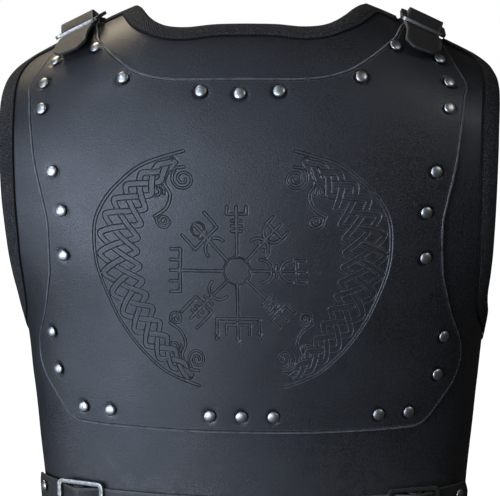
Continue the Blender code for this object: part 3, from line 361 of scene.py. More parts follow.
class StageSettings(bpy.types.PropertyGroup):
    """Floor, light and camera."""
    floor_drop: length_setting("Floor Drop", "Floor below the shoulders", 1.25, 0.55, 3.0)
    key_power: bpy.props.FloatProperty(
        name="Key Light", description="Power of the main soft light in watts", default=23.0,
        min=0.0, max=500.0)
    camera_place: bpy.props.FloatVectorProperty(
        name="Camera", description="Place of the camera", default=(0.1304, -1.4104, -0.096),
        subtype="TRANSLATION", unit="LENGTH")
    camera_turn: bpy.props.FloatVectorProperty(
        name="Camera Turn", description="Pitch, roll and yaw of the camera",
        default=(math.radians(-5.22), math.radians(-0.11), math.radians(-5.43)),
        subtype="EULER", unit="ROTATION")


class Torso:
    """The outer face of the body leather as a smooth surface over the flat pattern."""

    def __init__(self, waviness):
        """Measure the front line and the girth."""
        table = np.array(TORSO)
        sizes = np.array((-PANEL_HEIGHT, CHEST_HALF_WIDTH, CHEST_DEPTH, SHOULDER_SLOPE))
        self.columns = table * sizes
        steps = np.diff(self.columns, axis=0)
        gaps = np.hypot(steps[:, 0], steps[:, 2])
        self.downs = np.concatenate(([0.0], np.cumsum(gaps)))
        self.length = self.downs[-1]
        rises, wide = steps / gaps[:, None], gaps[:, None]
        inner = (wide[1:] * rises[:-1] + wide[:-1] * rises[1:]) / (wide[1:] + wide[:-1])
        self.slopes = np.vstack((1.5 * rises[0] - 0.5 * inner[0], inner,
                                 1.5 * rises[-1] - 0.5 * inner[-1]))
        self.angles = np.arange(ANGLE_COUNT) * ANGLE_STEP
        x, y = self.section(PATTERN_GIRTH * CHEST_HALF_WIDTH, CHEST_DEPTH, self.angles)
        self.arcs = np.concatenate(([0.0], np.cumsum(np.hypot(np.diff(x), np.diff(y)))))
        self.half_girth = np.interp(math.pi / 2.0, self.angles, self.arcs)
        self.waviness = waviness

    def section(self, width, depth, angle):
        """Points of a level section."""
        front = np.cos(angle)
        return width * np.sin(angle), -depth * np.sign(front) * np.abs(front) ** CHEST_ROUNDNESS

    def row(self, down):
        """Height, half width, depth and slope at distances down the front."""
        low = np.clip(np.searchsorted(self.downs, down, side="right") - 1, 0, len(self.downs) - 2)
        gap = (self.downs[low + 1] - self.downs[low])[:, None]
        share = (down - self.downs[low])[:, None] / gap
        part = np.clip(share, 0.0, 1.0)
        first = 2.0 * part ** 3 - 3.0 * part ** 2 + 1.0
        value = first * self.columns[low] + (1.0 - first) * self.columns[low + 1]
        value += (part ** 3 - 2.0 * part ** 2 + part) * gap * self.slopes[low]
        value += (part ** 3 - part ** 2) * gap * self.slopes[low + 1]
        slope = np.where(share < 0.5, self.slopes[low], self.slopes[low + 1])
        return (value + (share - part) * gap * slope).T

    def smooth(self, across, down):
        """Points of the surface."""
        height, width, depth, slope = self.row(down)
        angle = np.sign(across) * np.interp(np.abs(across), self.arcs, self.angles)
        x, y = self.section(width, depth, angle)
        beyond = np.maximum(np.abs(x) - SLOPE_START, 0.0)
        return np.stack((x, y, height - slope * beyond ** 2 / (beyond + SLOPE_EASE)), axis=1)

    def normals(self, across, down):
        """Outward directions of the surface."""
        step = SMALL_STEP
        round_it = self.smooth(across + step, down) - self.smooth(across - step, down)
        down_it = self.smooth(across, down + step) - self.smooth(across, down - step)
        out = np.cross(down_it, round_it)
        return out / np.linalg.norm(out, axis=1)[:, None]

    def waves(self, across, down):
        """Broad unevenness of the formed leather."""
        swell = np.sin(across * 61.0 + down * 23.0) + np.sin(down * 79.0 - across * 31.0 + 1.3)
        swell += np.sin(across * 113.0 + 2.1) * np.sin(down * 97.0 + 0.7)
        return self.waviness * swell / 2.0

    def place(self, points):
        """World points of pattern places given as rows of across, down and out."""
        across, down, out = np.asarray(points, dtype=float).T
        lift = out + self.waves(across, down)
        return self.smooth(across, down) + self.normals(across, down) * lift[:, None]

    def point(self, across, down, out):
        """World point of one pattern place."""
        return Vector(self.place([(across, down, out)])[0])

    def stand(self, across, down, out=0.0):
        """World matrix at a place: X across, Y up the pattern, Z outwards."""
        here = self.point(across, down, out)
        x_axis = (self.point(across + SMALL_STEP, down, out) - here).normalized()
        y_axis = (self.point(across, down - SMALL_STEP, out) - here).normalized()
        z_axis = x_axis.cross(y_axis).normalized()
        turn = Matrix((x_axis, z_axis.cross(x_axis), z_axis)).transposed().to_4x4()
        return Matrix.Translation(here) @ turn

    def stretch(self, place, axis):
        """World length of one unit of pattern along an axis at a place."""
        low, high = list(place), list(place)
        low[axis] -= SMALL_STEP
        high[axis] += SMALL_STEP
        return (self.point(*high) - self.point(*low)).length / (2.0 * SMALL_STEP)


def torso_now():
    """The torso with the scene's own waviness."""
    return Torso(bpy.context.scene.plate_leather.waviness)


def spline(points, step):
    """A smooth open line through points, sampled about every step."""
    line = [points[0]]
    padded = [points[0]] + list(points) + [points[-1]]
    for a, b, c, d in zip(padded, padded[1:], padded[2:], padded[3:]):
        count = max(1, round(math.dist(b, c) / step))
        for i in range(1, count + 1):
            t = i / count
            line.append(tuple(
                0.5 * (2.0 * q + (r - p) * t + (2.0 * p - 5.0 * q + 4.0 * r - s) * t * t
                       + (3.0 * q - p - 3.0 * r + s) * t ** 3)
                for p, q, r, s in zip(a, b, c, d)))
    return line


def straight(points, step):
    """A line of straight runs, sampled about every step."""
    line = [points[0]]
    for a, b in zip(points, points[1:]):
        count = max(1, math.ceil(math.dist(a, b) / step))
        line += [tuple(p + (q - p) * i / count for p, q in zip(a, b)) for i in range(1, count + 1)]
    return line


def outline_line(torso, table, step):
    """Sampled edge from an outline table, smooth between its sharp corners."""
    run, line = [], []
    for across, down, corner in table:
        run.append((across * torso.half_girth, down * torso.length))
        if corner:
            line += spline(run, step)[:-1] if len(run) > 1 else []
            run = [run[-1]]
    return line + (spline(run, step) if len(run) > 1 else run)


def other_half(line):
    """The mirror image of a line, run backwards, without its points on the centre line."""
    return [(-x, y) for x, y in reversed(line) if x > TINY]


def mirrored(line):
    """The other half of a line that starts on the centre line, then the line."""
    return other_half(line) + list(line)


def running_length(points):
    """Length along a line up to each of its points."""
    gaps = np.linalg.norm(np.diff(np.asarray(points, dtype=float), axis=0), axis=1)
    return np.concatenate(([0.0], np.cumsum(gaps)))


def smooth_step(share):
    """A share from 0 to 1 that eases in and out."""
    return share * share * (3.0 - 2.0 * share)


def moved_in(ring, inset):
    """A closed ring moved towards its left, with mitred corners."""
    ring = np.asarray(ring)
    before = ring - np.roll(ring, 1, axis=0)
    after = np.roll(ring, -1, axis=0) - ring
    before /= np.linalg.norm(before, axis=1)[:, None]
    after /= np.linalg.norm(after, axis=1)[:, None]
    left = np.stack((-before[:, 1] - after[:, 1], before[:, 0] + after[:, 0]), axis=1)
    left /= np.linalg.norm(left, axis=1)[:, None]
    reach = left[:, 1] * before[:, 0] - left[:, 0] * before[:, 1]
    return ring + left * (inset / np.maximum(reach, 0.5))[:, None]


def wound(ring, turn):
    """The ring with its area on the left (1) or on the right (-1)."""
    ring = np.asarray(ring)
    x, y = ring.T
    area = np.sum(x * np.roll(y, -1) - np.roll(x, -1) * y)
    return ring if area * turn > 0.0 else ring[::-1]


def inside(points, rings):
    """Which flat points lie within the outline and outside the holes."""
    x, y = points.T
    hit = np.zeros(len(points), dtype=bool)
    for ring in rings:
        for (x0, y0), (x1, y1) in zip(ring, np.roll(ring, -1, axis=0)):
            if y0 != y1:
                crosses = (y0 > y) != (y1 > y)
                hit ^= crosses & (x < (x1 - x0) * (y - y0) / (y1 - y0) + x0)
    return hit


def clear_of(points, taken, distance):
    """Those of the points that lie further than a distance from the taken ones."""
    tree = KDTree(len(taken))
    for i, (x, y) in enumerate(taken):
        tree.insert((x, y, 0.0), i)
    tree.balance()
    return [p for p in points if tree.find((p[0], p[1], 0.0))[2] > distance]


def thinned(points, distance):
    """The points without those that crowd an earlier one."""
    cells, kept = {}, []
    for x, y in points:
        key = (math.floor(x / distance), math.floor(y / distance))
        near = [p for i in (-1, 0, 1) for j in (-1, 0, 1)
                for p in cells.get((key[0] + i, key[1] + j), ())]
        if all(math.hypot(x - p[0], y - p[1]) >= distance for p in near):
            cells.setdefault(key, []).append((x, y))
            kept.append((x, y))
    return kept


def fill(rings, spots):
    """Flat points, the rings' own first, and the triangles over them."""
    edges, start = [], 0
    for ring in rings:
        edges += [(start + i, start + (i + 1) % len(ring)) for i in range(len(ring))]
        start += len(ring)
    given = [Vector(p) for ring in rings for p in ring] + [Vector(p) for p in spots]
    coords, _, triangles, origins, _, _ = delaunay_2d_cdt(given, edges, [], 0, 1e-8)
    coords = np.array([tuple(c) for c in coords])
    triangles = np.array([tuple(t) for t in triangles])
    triangles = triangles[inside(coords[triangles].mean(axis=1), rings)]
    where = {origin: k for k, group in enumerate(origins) for origin in group}
    order = [where[i] for i in range(start)]
    taken = set(order)
    order += [k for k in range(len(coords)) if k not in taken]
    back = np.zeros(len(coords), dtype=int)
    back[order] = np.arange(len(order))
    return coords[order], back[triangles]


def grid_spots(rings, spacing, seeds):
    """Even spots inside rings, clear of their edges and of the seeds."""
    low, high = rings[0].min(axis=0), rings[0].max(axis=0)
    xs = np.arange(low[0] + 0.5 * spacing, high[0], spacing)
    ys = np.arange(low[1] + 0.5 * spacing, high[1], spacing * 0.87)
    spots = np.array([(x + 0.5 * spacing * (k % 2), y) for k, y in enumerate(ys) for x in xs])
    spots = spots[inside(spots, rings)]
    taken = [tuple(p) for ring in rings for p in ring] + list(seeds)
    return clear_of([tuple(p) for p in spots], taken, 0.5 * spacing)


def face_outwards(mesh):
    """Turn a closed mesh's faces outwards."""
    bm = bmesh.new()
    bm.from_mesh(mesh)
    bmesh.ops.recalc_face_normals(bm, faces=bm.faces)
    bm.to_mesh(mesh)
    bm.free()


def set_values(thing, word, values):
    """Give each point of a mesh its value of a named attribute."""
    layer = thing.data.attributes.new(word, "FLOAT", "POINT")
    layer.data.foreach_set("value", values.astype(np.float32))


def new_piece(name, points, faces):
    """Link a closed mesh whose faces point outwards."""
    mesh = bpy.data.meshes.new(name)
    mesh.from_pydata([tuple(p) for p in points], [], [tuple(int(k) for k in f) for f in faces])
    face_outwards(mesh)
    thing = bpy.data.objects.new(name, mesh)
    bpy.context.scene.collection.objects.link(thing)
    return thing


def formed_leather(name, torso, rings, low, high, spacing, seeds=(), folds=(), relief=None,
                   rubbed=None, bend=None):
    """A closed leather piece over flat rings, its outline first and then its holes.

    The top face has mesh spots at the seeds, and both faces have them at the folds.
    """
    sizes = bpy.context.scene.plate_leather
    radius = sizes.edge_round
    rings = [wound(ring, 1.0 if k == 0 else -1.0) for k, ring in enumerate(rings)]
    turns = [math.radians(a) for a in EDGE_TURNS]
    layers = [(radius * (1.0 - math.sin(a)), high - radius * (1.0 - math.cos(a))) for a in turns]
    layers += [(radius * (1.0 - math.sin(a)), low + radius * (1.0 - math.cos(a)))
               for a in reversed(turns)]
    count = sum(len(ring) for ring in rings)
    top_rings = [moved_in(ring, layers[0][0]) for ring in rings]
    rim = np.vstack([moved_in(ring, RIM_ROW * radius) for ring in rings])
    rim = [tuple(p) for p in rim[inside(rim, top_rings)]]
    seeds = thinned(list(seeds) + list(folds) + rim, SPOT_GAP)
    spots = seeds + grid_spots(top_rings, spacing, seeds)
    top, top_faces = fill(top_rings, spots)
    under = list(folds) + grid_spots(top_rings, spacing, folds)
    bottom, bottom_faces = fill(top_rings, under)
    lift = relief(top) if relief else np.zeros(len(top))
    points = [np.column_stack((top, high + lift))]
    # Edge values: on the chest, painted highlight on the shoulders of the pressed lines; on the
    # layers below, wear and painted highlight down the rounded edge
    edge = [rubbed(top) if rubbed else np.zeros(len(top))]
    edge[0][:count] = EDGE_WEAR_AND_GLINT[0]
    # How deep each point of the top face is pressed; the finish uses it for roughness and for
    # painted shade
    press = [np.clip(-lift / sizes.press, 0.0, 1.0) ** 2]
    for (inset, out), worn in zip(layers[1:-1], EDGE_WEAR_AND_GLINT[1:]):
        flat = np.vstack([moved_in(ring, inset) for ring in rings])
        points.append(np.column_stack((flat, np.full(count, out))))
        edge.append(np.full(count, worn))
        press.append(np.zeros(count))
    points.append(np.column_stack((bottom, np.full(len(bottom), low))))
    edge.append(np.zeros(len(bottom)))
    press.append(np.zeros(len(bottom)))
    faces = [tuple(f) for f in top_faces]
    starts = [0] + [len(top) + k * count for k in range(len(layers) - 2)]
    starts.append(starts[-1] + count)
    for a, b in zip(starts, starts[1:]):
        first = 0
        for ring in rings:
            n = len(ring)
            faces += [(a + first + i, a + first + (i + 1) % n, b + first + (i + 1) % n,
                       b + first + i) for i in range(n)]
            first += n
    faces += [tuple(starts[-1] + k for k in reversed(tuple(f))) for f in bottom_faces]
    points = np.vstack(points)
    if bend:
        points = bend(points)
    thing = new_piece(name, torso.place(points), faces)
    set_values(thing, "edge", np.concatenate(edge))
    set_values(thing, "press", np.concatenate(press))
    return thing


def mark_inside(thing, torso_side):
    """Give the faces that look towards the wearer the second material."""
    for polygon in thing.data.polygons:
        middle = Vector(polygon.center)
        away = Vector((middle.x, middle.y - torso_side, 0.0))
        if polygon.normal.dot(away) < -0.2 * away.length:
            polygon.material_index = 1


def all_off():
    """Nothing is selected."""
    if bpy.context.object and bpy.context.object.mode != "OBJECT":
        bpy.ops.object.mode_set(mode="OBJECT")
    bpy.ops.object.select_all(action="DESELECT")


def take(thing):
    """Make one object the active and only selected one."""
    all_off()
    thing.select_set(True)
    bpy.context.view_layer.objects.active = thing


def pick(thing, kind, test):
    """In edit mode, select only the faces or edges that pass a test."""
    bpy.ops.mesh.select_mode(type=kind)
    bpy.ops.mesh.select_all(action="DESELECT")
    bm = bmesh.from_edit_mesh(thing.data)
    for part in (bm.faces if kind == "FACE" else bm.edges):
        if test(part):
            part.select_set(True)
    bmesh.update_edit_mesh(thing.data)


def modify(thing, kind, **settings):
    """Add a modifier, set it and apply it."""
    take(thing)
    bpy.ops.object.modifier_add(type=kind)
    modifier = thing.modifiers[-1]
    for key, value in settings.items():
        setattr(modifier, key, value)
    bpy.ops.object.modifier_apply(modifier=modifier.name)


def settle(thing, name, materials, nodes, angle=40.0):
    """Name a finished piece, give it its finish and set it in the frame."""
    take(thing)
    bpy.ops.object.transform_apply(location=True, rotation=True, scale=True)
    thing.name = name
    thing.data.name = name
    thing.data.materials.clear()
    for material in materials:
        thing.data.materials.append(material)
    bpy.ops.object.shade_smooth_by_angle(angle=math.radians(angle))
    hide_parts(*nodes)
    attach(thing, "root")
    return thing


def copy_to(thing, matrix):
    """A copy with its own mesh, moved by a matrix."""
    mesh = thing.data.copy()
    mesh.transform(matrix)
    copy = bpy.data.objects.new(thing.name, mesh)
    bpy.context.scene.collection.objects.link(copy)
    return copy


# ---- Pressed pattern ----


def arc_points(centre, radius, first, last, step=0.9):
    """Points round an arc, angles in degrees, in millimetres."""
    count = max(3, round(abs(math.radians(last - first)) * radius / step))
    return [(centre[0] + radius * math.cos(math.radians(first + (last - first) * i / count)),
             centre[1] + radius * math.sin(math.radians(first + (last - first) * i / count)))
            for i in range(count + 1)]


def stave_strokes(band):
    """Strokes of the compass stave as (line, levels, half width)."""
    strokes = []

    def add(points, half):
        """Keep one line, turned from y upwards to the pattern's down."""
        flat = np.array([(STAVE_CENTRE[0] + x * (1.0 - STAVE_FLARE * y), STAVE_CENTRE[1] - y)
                         for x, y in points]) * MM
        strokes.append((flat, None, half))

    add(arc_points((0.0, 0.0), STAVE_RING, 0, 360), 0.30 * band)
    for degrees, marks in STAVE:
        turn = math.radians(degrees)
        along, over = (math.cos(turn), math.sin(turn)), (-math.sin(turn), math.cos(turn))

        def spread(points):
            """Arm places as flat places."""
            return [(u * along[0] + v * over[0], u * along[1] + v * over[1]) for u, v in points]

        for kind, *sizes in marks:
            if kind == "line":
                add(spread([sizes[:2], sizes[2:]]), 0.5 * band)
            elif kind == "dot":
                add(spread([(sizes[0], sizes[1] - 0.3), (sizes[0], sizes[1] + 0.3)]), 0.62 * band)
            elif kind == "ring":
                add(spread(arc_points((sizes[0], 0.0), sizes[1], 0, 360)), 0.30 * band)
            else:
                add(spread(arc_points((sizes[0], 0.0), *sizes[1:])), 0.5 * band)
    return strokes


def beside(line):
    """Directions along a flat line, and across it to its left."""
    run = np.gradient(line, axis=0)
    run /= np.maximum(np.linalg.norm(run, axis=1), 1e-12)[:, None]
    return run, np.stack((-run[:, 1], run[:, 0]), axis=1)


def plait_strokes(band):
    """Strands of the plaited crescents with their levels, and the scrolls over their ends."""
    def whole(points):
        """A line from the crescent's middle, with its like above the stave's centre."""
        above = [(x, 2.0 * STAVE_CENTRE[1] - y) for x, y in points[:0:-1]]
        return np.array(spline(above + list(points), 1.0))

    spine = whole(PLAIT_SPINE)
    over = beside(spine)[1]
    lengths = running_length(spine)
    share = lengths / lengths[-1]
    half = np.interp(share, *np.array(PLAIT_HALF).T)
    lines = []
    for strand in range(PLAIT_STRANDS):
        phase = 2.0 * math.pi * (share * PLAIT_PERIODS + strand / PLAIT_STRANDS)
        swing = np.arcsin(PLAIT_POINTED * np.sin(phase)) / math.asin(PLAIT_POINTED)
        lines.append((spine + over * (half * swing)[:, None], np.sin(2.0 * phase), 1.0))
    edge = whole(CRESCENT_EDGE)
    lines.append((edge, np.full(len(edge), -2.5), 0.5))
    ends = [(np.array(spline(CRESCENT_HOOK, 1.0)), -2.5, 0.5)]
    for x, y, start, end, first, turn in SCROLLS:
        radii = np.linspace(start, end, SCROLL_POINTS)
        angles = np.radians(first + np.linspace(0.0, turn, SCROLL_POINTS))
        line = np.stack((x + radii * np.cos(angles), y - radii * np.sin(angles)), axis=1)
        ends.append((line, -3.0, 0.40))
    for line, level, half_share in ends:
        above = line * (1.0, -1.0) + (0.0, 2.0 * STAVE_CENTRE[1])
        lines += [(each, np.full(len(each), level), half_share) for each in (line, above)]
    strokes = []
    for line, levels, half_share in lines:
        for side in (1.0, -1.0):
            strokes.append((line * np.array((side, 1.0)) * MM, levels, half_share * band))
    return strokes


def nearest(points, line, levels):
    """Distance from flat points to a line, and the line's level there."""
    best = np.full(len(points), 1.0)
    level = np.zeros(len(points))
    for i, (a, b) in enumerate(zip(line, line[1:])):
        run = b - a
        share = np.clip((points - a) @ run / max(run @ run, 1e-16), 0.0, 1.0)
        gap = np.linalg.norm(points - a - share[:, None] * run, axis=1)
        closer = gap < best
        best[closer] = gap[closer]
        if levels is not None:
            level[closer] = (levels[i] + share * (levels[i + 1] - levels[i]))[closer]
    return best, level


def pressed(points, strokes, line_half, depth):
    """How far each flat point is pressed in by the lines on both sides of every band."""
    merged = np.full(len(points), 1.0)
    winner, shown = np.full(len(points), -1e9), np.full(len(points), 1.0)
    for line, levels, half in strokes:
        margin = half + 2.0 * line_half
        near = np.all((points > line.min(axis=0) - margin) & (points < line.max(axis=0) + margin),
                      axis=1)
        where = np.nonzero(near)[0]
        gap, level = nearest(points[where], line, levels)
        gap = gap - half
        if levels is None:
            merged[where] = np.minimum(merged[where], gap)
            continue
        rank = np.where(gap < line_half, level - 100.0 * gap, -1e9)
        better = rank > winner[where]
        winner[where[better]] = rank[better]
        shown[where[better]] = gap[better]
    lowest = np.minimum(np.abs(merged), np.abs(shown))
    return -depth * np.clip(1.0 - (lowest / line_half) ** 2, 0.0, 1.0) ** 1.5


def stroke_seeds(strokes, line_half):
    """Mesh spots along both edges of every band."""
    seeds = []
    for line, _, half in strokes:
        fine = np.array(straight([tuple(p) for p in line], STROKE_STEP))
        run, over = beside(fine)
        rim = 2.1 * line_half
        for reach in (half, half + line_half, max(half - line_half, 0.0), half + rim,
                      max(half - rim, 0.0)):
            for side in (1.0, -1.0):
                seeds += [tuple(p) for p in fine + over * (side * reach)]
            for end, way in ((fine[0], -run[0]), (fine[-1], run[-1])):
                base = math.atan2(way[1], way[0])
                for turn in (-1.0, -0.5, 0.0, 0.5, 1.0):
                    seeds.append((end[0] + reach * math.cos(base + turn),
                                  end[1] + reach * math.sin(base + turn)))
    return seeds


def dimple_seeds(places, radius):
    """Mesh spots round the rivets."""
    return [(x + share * radius * math.cos(i * math.tau / 24.0),
             y + share * radius * math.sin(i * math.tau / 24.0))
            for x, y in places for share in (0.80, 1.0, 1.15, 1.35, 1.6, 1.9) for i in range(24)]


def dimples(points, places, radius, depth):
    """How far the rivets draw the leather in."""
    lift = np.zeros(len(points))
    for place in places:
        gap = np.linalg.norm(points - np.array(place), axis=1) / radius
        share = np.clip((gap - 1.0) / 0.75, 0.0, 1.0)
        lift = np.minimum(lift, -depth * (1.0 - smooth_step(share)))
    return lift


def rivet_places(torso):
    """Every chest rivet as (node, across, down)."""
    places = []
    for number, (across, down) in enumerate(CHEST_RIVETS, start=1):
        across, down = across * torso.half_girth, down * torso.length
        if across < TINY:
            places.append((f"chest_rivet_{number:02d}", 0.0, down))
        else:
            places.append((f"chest_rivet_{number:02d}_left", -across, down))
            places.append((f"chest_rivet_{number:02d}_right", across, down))
    return places


def waist_rivet_places():
    """Every rivet of the waist tabs as (node, across, down)."""
    return [(f"waist_rivet_{level}_{word}", side * (WAIST_BAR_ACROSS + WAIST_RIVET_FROM_BAR),
             WAIST_DOWN + drop * WAIST_RIVET_SPACING)
            for word, side in SIDES for level, drop in (("upper", -0.5), ("lower", 0.5))]


# ---- Finishes ----


def socket_list(tree, where, sockets):
    """Add named sockets to a node group."""
    for name, kind, value in sockets:
        socket = tree.interface.new_socket(name, in_out=where, socket_type="NodeSocket" + kind)
        if value is not None:
            socket.default_value = value


def new_group(name, inputs, outputs):
    """An empty node group with its sockets and end nodes."""
    tree = bpy.data.node_groups.new(name, "ShaderNodeTree")
    socket_list(tree, "INPUT", inputs)
    socket_list(tree, "OUTPUT", outputs)
    return tree, tree.nodes.new("NodeGroupInput"), tree.nodes.new("NodeGroupOutput")


def node(tree, kind, links=(), **settings):
    """Add a node, set it up and link its inputs."""
    made = tree.nodes.new(kind)
    for key, value in settings.items():
        setattr(made, key, value)
    for socket, source in dict(links).items():
        if isinstance(source, bpy.types.NodeSocket):
            tree.links.new(source, made.inputs[socket])
        else:
            made.inputs[socket].default_value = source
    return made


def maths(tree, operation, a, b=0.0, clamp=False):
    """The result of a sum on values."""
    return node(tree, "ShaderNodeMath", {0: a, 1: b}, operation=operation,
                use_clamp=clamp).outputs[0]


def noise(tree, place, scale, detail=2.0, roughness=0.5):
    """Noise at a place, from 0 to 1."""
    return node(tree, "ShaderNodeTexNoise", {"Vector": place, "Scale": scale, "Detail": detail,
                                             "Roughness": roughness}).outputs["Fac"]


def between(tree, value, low, high, first=0.0, last=1.0):
    """A value spread from one limit to another: first at the low one and last at the high one."""
    return node(tree, "ShaderNodeMapRange", {"Value": value, "From Min": low, "From Max": high,
                                             "To Min": first, "To Max": last}).outputs[0]


def grain_group():
    """Leather grain: its height, broad mottling and fine creases."""
    if "leather_grain" in bpy.data.node_groups:
        return bpy.data.node_groups["leather_grain"]
    tree, start, end = new_group(
        "leather_grain", (("Vector", "Vector", None), ("Scale", "Float", 900.0)),
        (("Height", "Float", None), ("Mottle", "Float", None), ("Speckle", "Float", None)))
    place, scale = start.outputs["Vector"], start.outputs["Scale"]
    pebbles = node(tree, "ShaderNodeTexVoronoi", {"Vector": place, "Scale": scale},
                   feature="SMOOTH_F1")
    high = maths(tree, "ADD", maths(tree, "MULTIPLY", pebbles.outputs["Distance"], 0.6),
                 maths(tree, "MULTIPLY", noise(tree, place, scale, 3.0), 0.7))
    mottle = between(tree, noise(tree, place, 17.0, 6.0, 0.62), 0.36, 0.66)
    spots = between(tree, noise(tree, place, 620.0, 4.0, 0.7), 0.35, 0.70)
    for name, value in (("Height", high), ("Mottle", mottle), ("Speckle", spots)):
        tree.links.new(value, end.inputs[name])
    return tree


def wear_and_glint_group():
    """Broken wear along an edge, from a mask and a place; on the formed leather the mask also
    carries painted highlight.
    """
    if "edge_wear_and_glint" in bpy.data.node_groups:
        return bpy.data.node_groups["edge_wear_and_glint"]
    tree, start, end = new_group(
        "edge_wear_and_glint", (("Vector", "Vector", None), ("Edge", "Float", 0.0)),
        (("Mask", "Float", None),))
    broken = between(tree, noise(tree, start.outputs["Vector"], 160.0, 4.0), 0.30, 0.58, 0.35)
    mask = maths(tree, "MULTIPLY", broken, start.outputs["Edge"], clamp=True)
    tree.links.new(mask, end.inputs["Mask"])
    return tree


def twill_group():
    """Twill of a woven tape, from a map whose u runs along it: height and thread mask."""
    if "tape_twill" in bpy.data.node_groups:
        return bpy.data.node_groups["tape_twill"]
    tree, start, end = new_group(
        "tape_twill", (("Vector", "Vector", None), ("Pitch", "Float", 0.0018)),
        (("Height", "Float", None), ("Thread", "Float", None)))
    parts = node(tree, "ShaderNodeSeparateXYZ", {0: start.outputs["Vector"]})
    along, over = parts.outputs[0], parts.outputs[1]
    pitch = start.outputs["Pitch"]

    def ribs(value, share):
        """Ribs along one direction."""
        turn = maths(tree, "DIVIDE", value, maths(tree, "MULTIPLY", pitch, share))
        return maths(tree, "SINE", maths(tree, "MULTIPLY", turn, math.tau))

    diagonal = ribs(maths(tree, "ADD", along, maths(tree, "MULTIPLY", over, 1.2)), 1.0)
    threads = ribs(maths(tree, "SUBTRACT", along, maths(tree, "MULTIPLY", over, 0.35)), 0.42)
    both = maths(tree, "ADD", maths(tree, "MULTIPLY", diagonal, 0.32),
                 maths(tree, "MULTIPLY", threads, 0.18))
    height = maths(tree, "ADD", both, 0.5, clamp=True)
    tree.links.new(height, end.inputs["Height"])
    tree.links.new(between(tree, height, 0.45, 0.66), end.inputs["Thread"])
    return tree


def metal_group():
    """Fine scratches and dull spots of handled metal."""
    if "handled_metal" in bpy.data.node_groups:
        return bpy.data.node_groups["handled_metal"]
    tree, start, end = new_group(
        "handled_metal", (("Vector", "Vector", None),),
        (("Dull", "Float", None), ("Height", "Float", None)))
    place = start.outputs["Vector"]
    spots = noise(tree, place, 420.0, 4.0)
    stretched = node(tree, "ShaderNodeMapping", {"Vector": place, "Scale": (2600.0, 300.0, 300.0)})
    tree.links.new(between(tree, spots, 0.40, 0.66), end.inputs["Dull"])
    tree.links.new(noise(tree, stretched.outputs[0], 1.0), end.inputs["Height"])
    return tree


def new_material(name):
    """A material with its tree, its shader and its object coordinates."""
    material = bpy.data.materials.new(name)
    material.use_nodes = True
    tree = material.node_tree
    shader = tree.nodes["Principled BSDF"]
    place = tree.nodes.new("ShaderNodeTexCoord").outputs["Object"]
    return material, tree, shader, place


def use_group(tree, group, links):
    """Place a node group in a material."""
    return node(tree, "ShaderNodeGroup", links, node_tree=group)


def mixed(tree, share, a, b):
    """A colour between two colours."""
    a, b = (colour if isinstance(colour, bpy.types.NodeSocket) else (*tuple(colour)[:3], 1.0)
            for colour in (a, b))
    return node(tree, "ShaderNodeMix", {0: share, 6: a, 7: b}, data_type="RGBA").outputs[2]


def dress(tree, shader, colour, rough, bump=None, **values):
    """Link a shader's colour, roughness and bump (height, strength, distance), and set the rest."""
    tree.links.new(colour, shader.inputs["Base Color"])
    tree.links.new(rough, shader.inputs["Roughness"])
    if bump:
        height, strength, distance = bump
        raised = node(tree, "ShaderNodeBump", {"Strength": strength, "Distance": distance,
                                               "Height": height})
        tree.links.new(raised.outputs[0], shader.inputs["Normal"])
    for name, value in values.items():
        shader.inputs[name.replace("_", " ")].default_value = value


def leather_finish():
    """Black dyed leather with a fine grain and mottling, edges that are partly worn and partly a
    painted highlight, painted highlight on the shoulders of its pressed lines, and painted shade in
    the pressed lines and rivet dimples.
    """
    if "black_leather_finish" in bpy.data.materials:
        return bpy.data.materials["black_leather_finish"]
    sizes = bpy.context.scene.plate_leather
    material, tree, shader, place = new_material("black_leather_finish")
    grain = use_group(tree, grain_group(), {"Vector": place, "Scale": sizes.grain})
    edge = node(tree, "ShaderNodeAttribute", attribute_name="edge")
    press = node(tree, "ShaderNodeAttribute", attribute_name="press")
    wear = use_group(tree, wear_and_glint_group(), {"Vector": place, "Edge": edge.outputs["Fac"]})
    colour = mixed(tree, grain.outputs["Mottle"], sizes.dark, sizes.light)
    thin = maths(tree, "SUBTRACT", 0.85, maths(tree, "MULTIPLY", grain.outputs["Mottle"], 0.6))
    speck = maths(tree, "MULTIPLY", grain.outputs["Speckle"], thin)
    colour = mixed(tree, speck, colour, (0.054, 0.052, 0.051))
    # Painted shade: the pressed lines and the rivet dimples are mixed towards black, as if shade lay
    # in them
    colour = mixed(tree, maths(tree, "MULTIPLY", press.outputs["Fac"], 0.60), colour,
                   (0.004, 0.004, 0.005))
    height = node(tree, "ShaderNodeSeparateXYZ", {0: place}).outputs[2]
    patches = between(tree, noise(tree, place, 95.0, 6.0, 0.7), 0.38, 0.58)
    rubbed = maths(tree, "MULTIPLY", between(tree, height, -0.38, -0.455), patches)
    colour = mixed(tree, maths(tree, "MULTIPLY", rubbed, 0.55), colour, (0.034, 0.029, 0.025))
    # Light colour where the edge mask lies: wear and painted highlight down the rounded edges, and
    # painted highlight on the shoulders of the pressed lines
    colour = mixed(tree, wear.outputs["Mask"], colour, (0.30, 0.305, 0.32))
    rough = between(tree, grain.outputs["Mottle"], 0.0, 1.0, 0.29, 0.43)
    rough = maths(tree, "ADD", rough, maths(tree, "MULTIPLY", grain.outputs["Speckle"], 0.14))
    rough = maths(tree, "ADD", rough, maths(tree, "MULTIPLY", rubbed, 0.32))
    burnish = maths(tree, "MULTIPLY", press.outputs["Fac"], 2.5, clamp=True)
    rough = maths(tree, "SUBTRACT", rough, maths(tree, "MULTIPLY", burnish, 0.18))
    dress(tree, shader, colour, rough, (grain.outputs["Height"], 0.75, 0.0005),
          Specular_IOR_Level=0.62, Coat_Weight=0.12, Coat_Roughness=0.30)
    return material


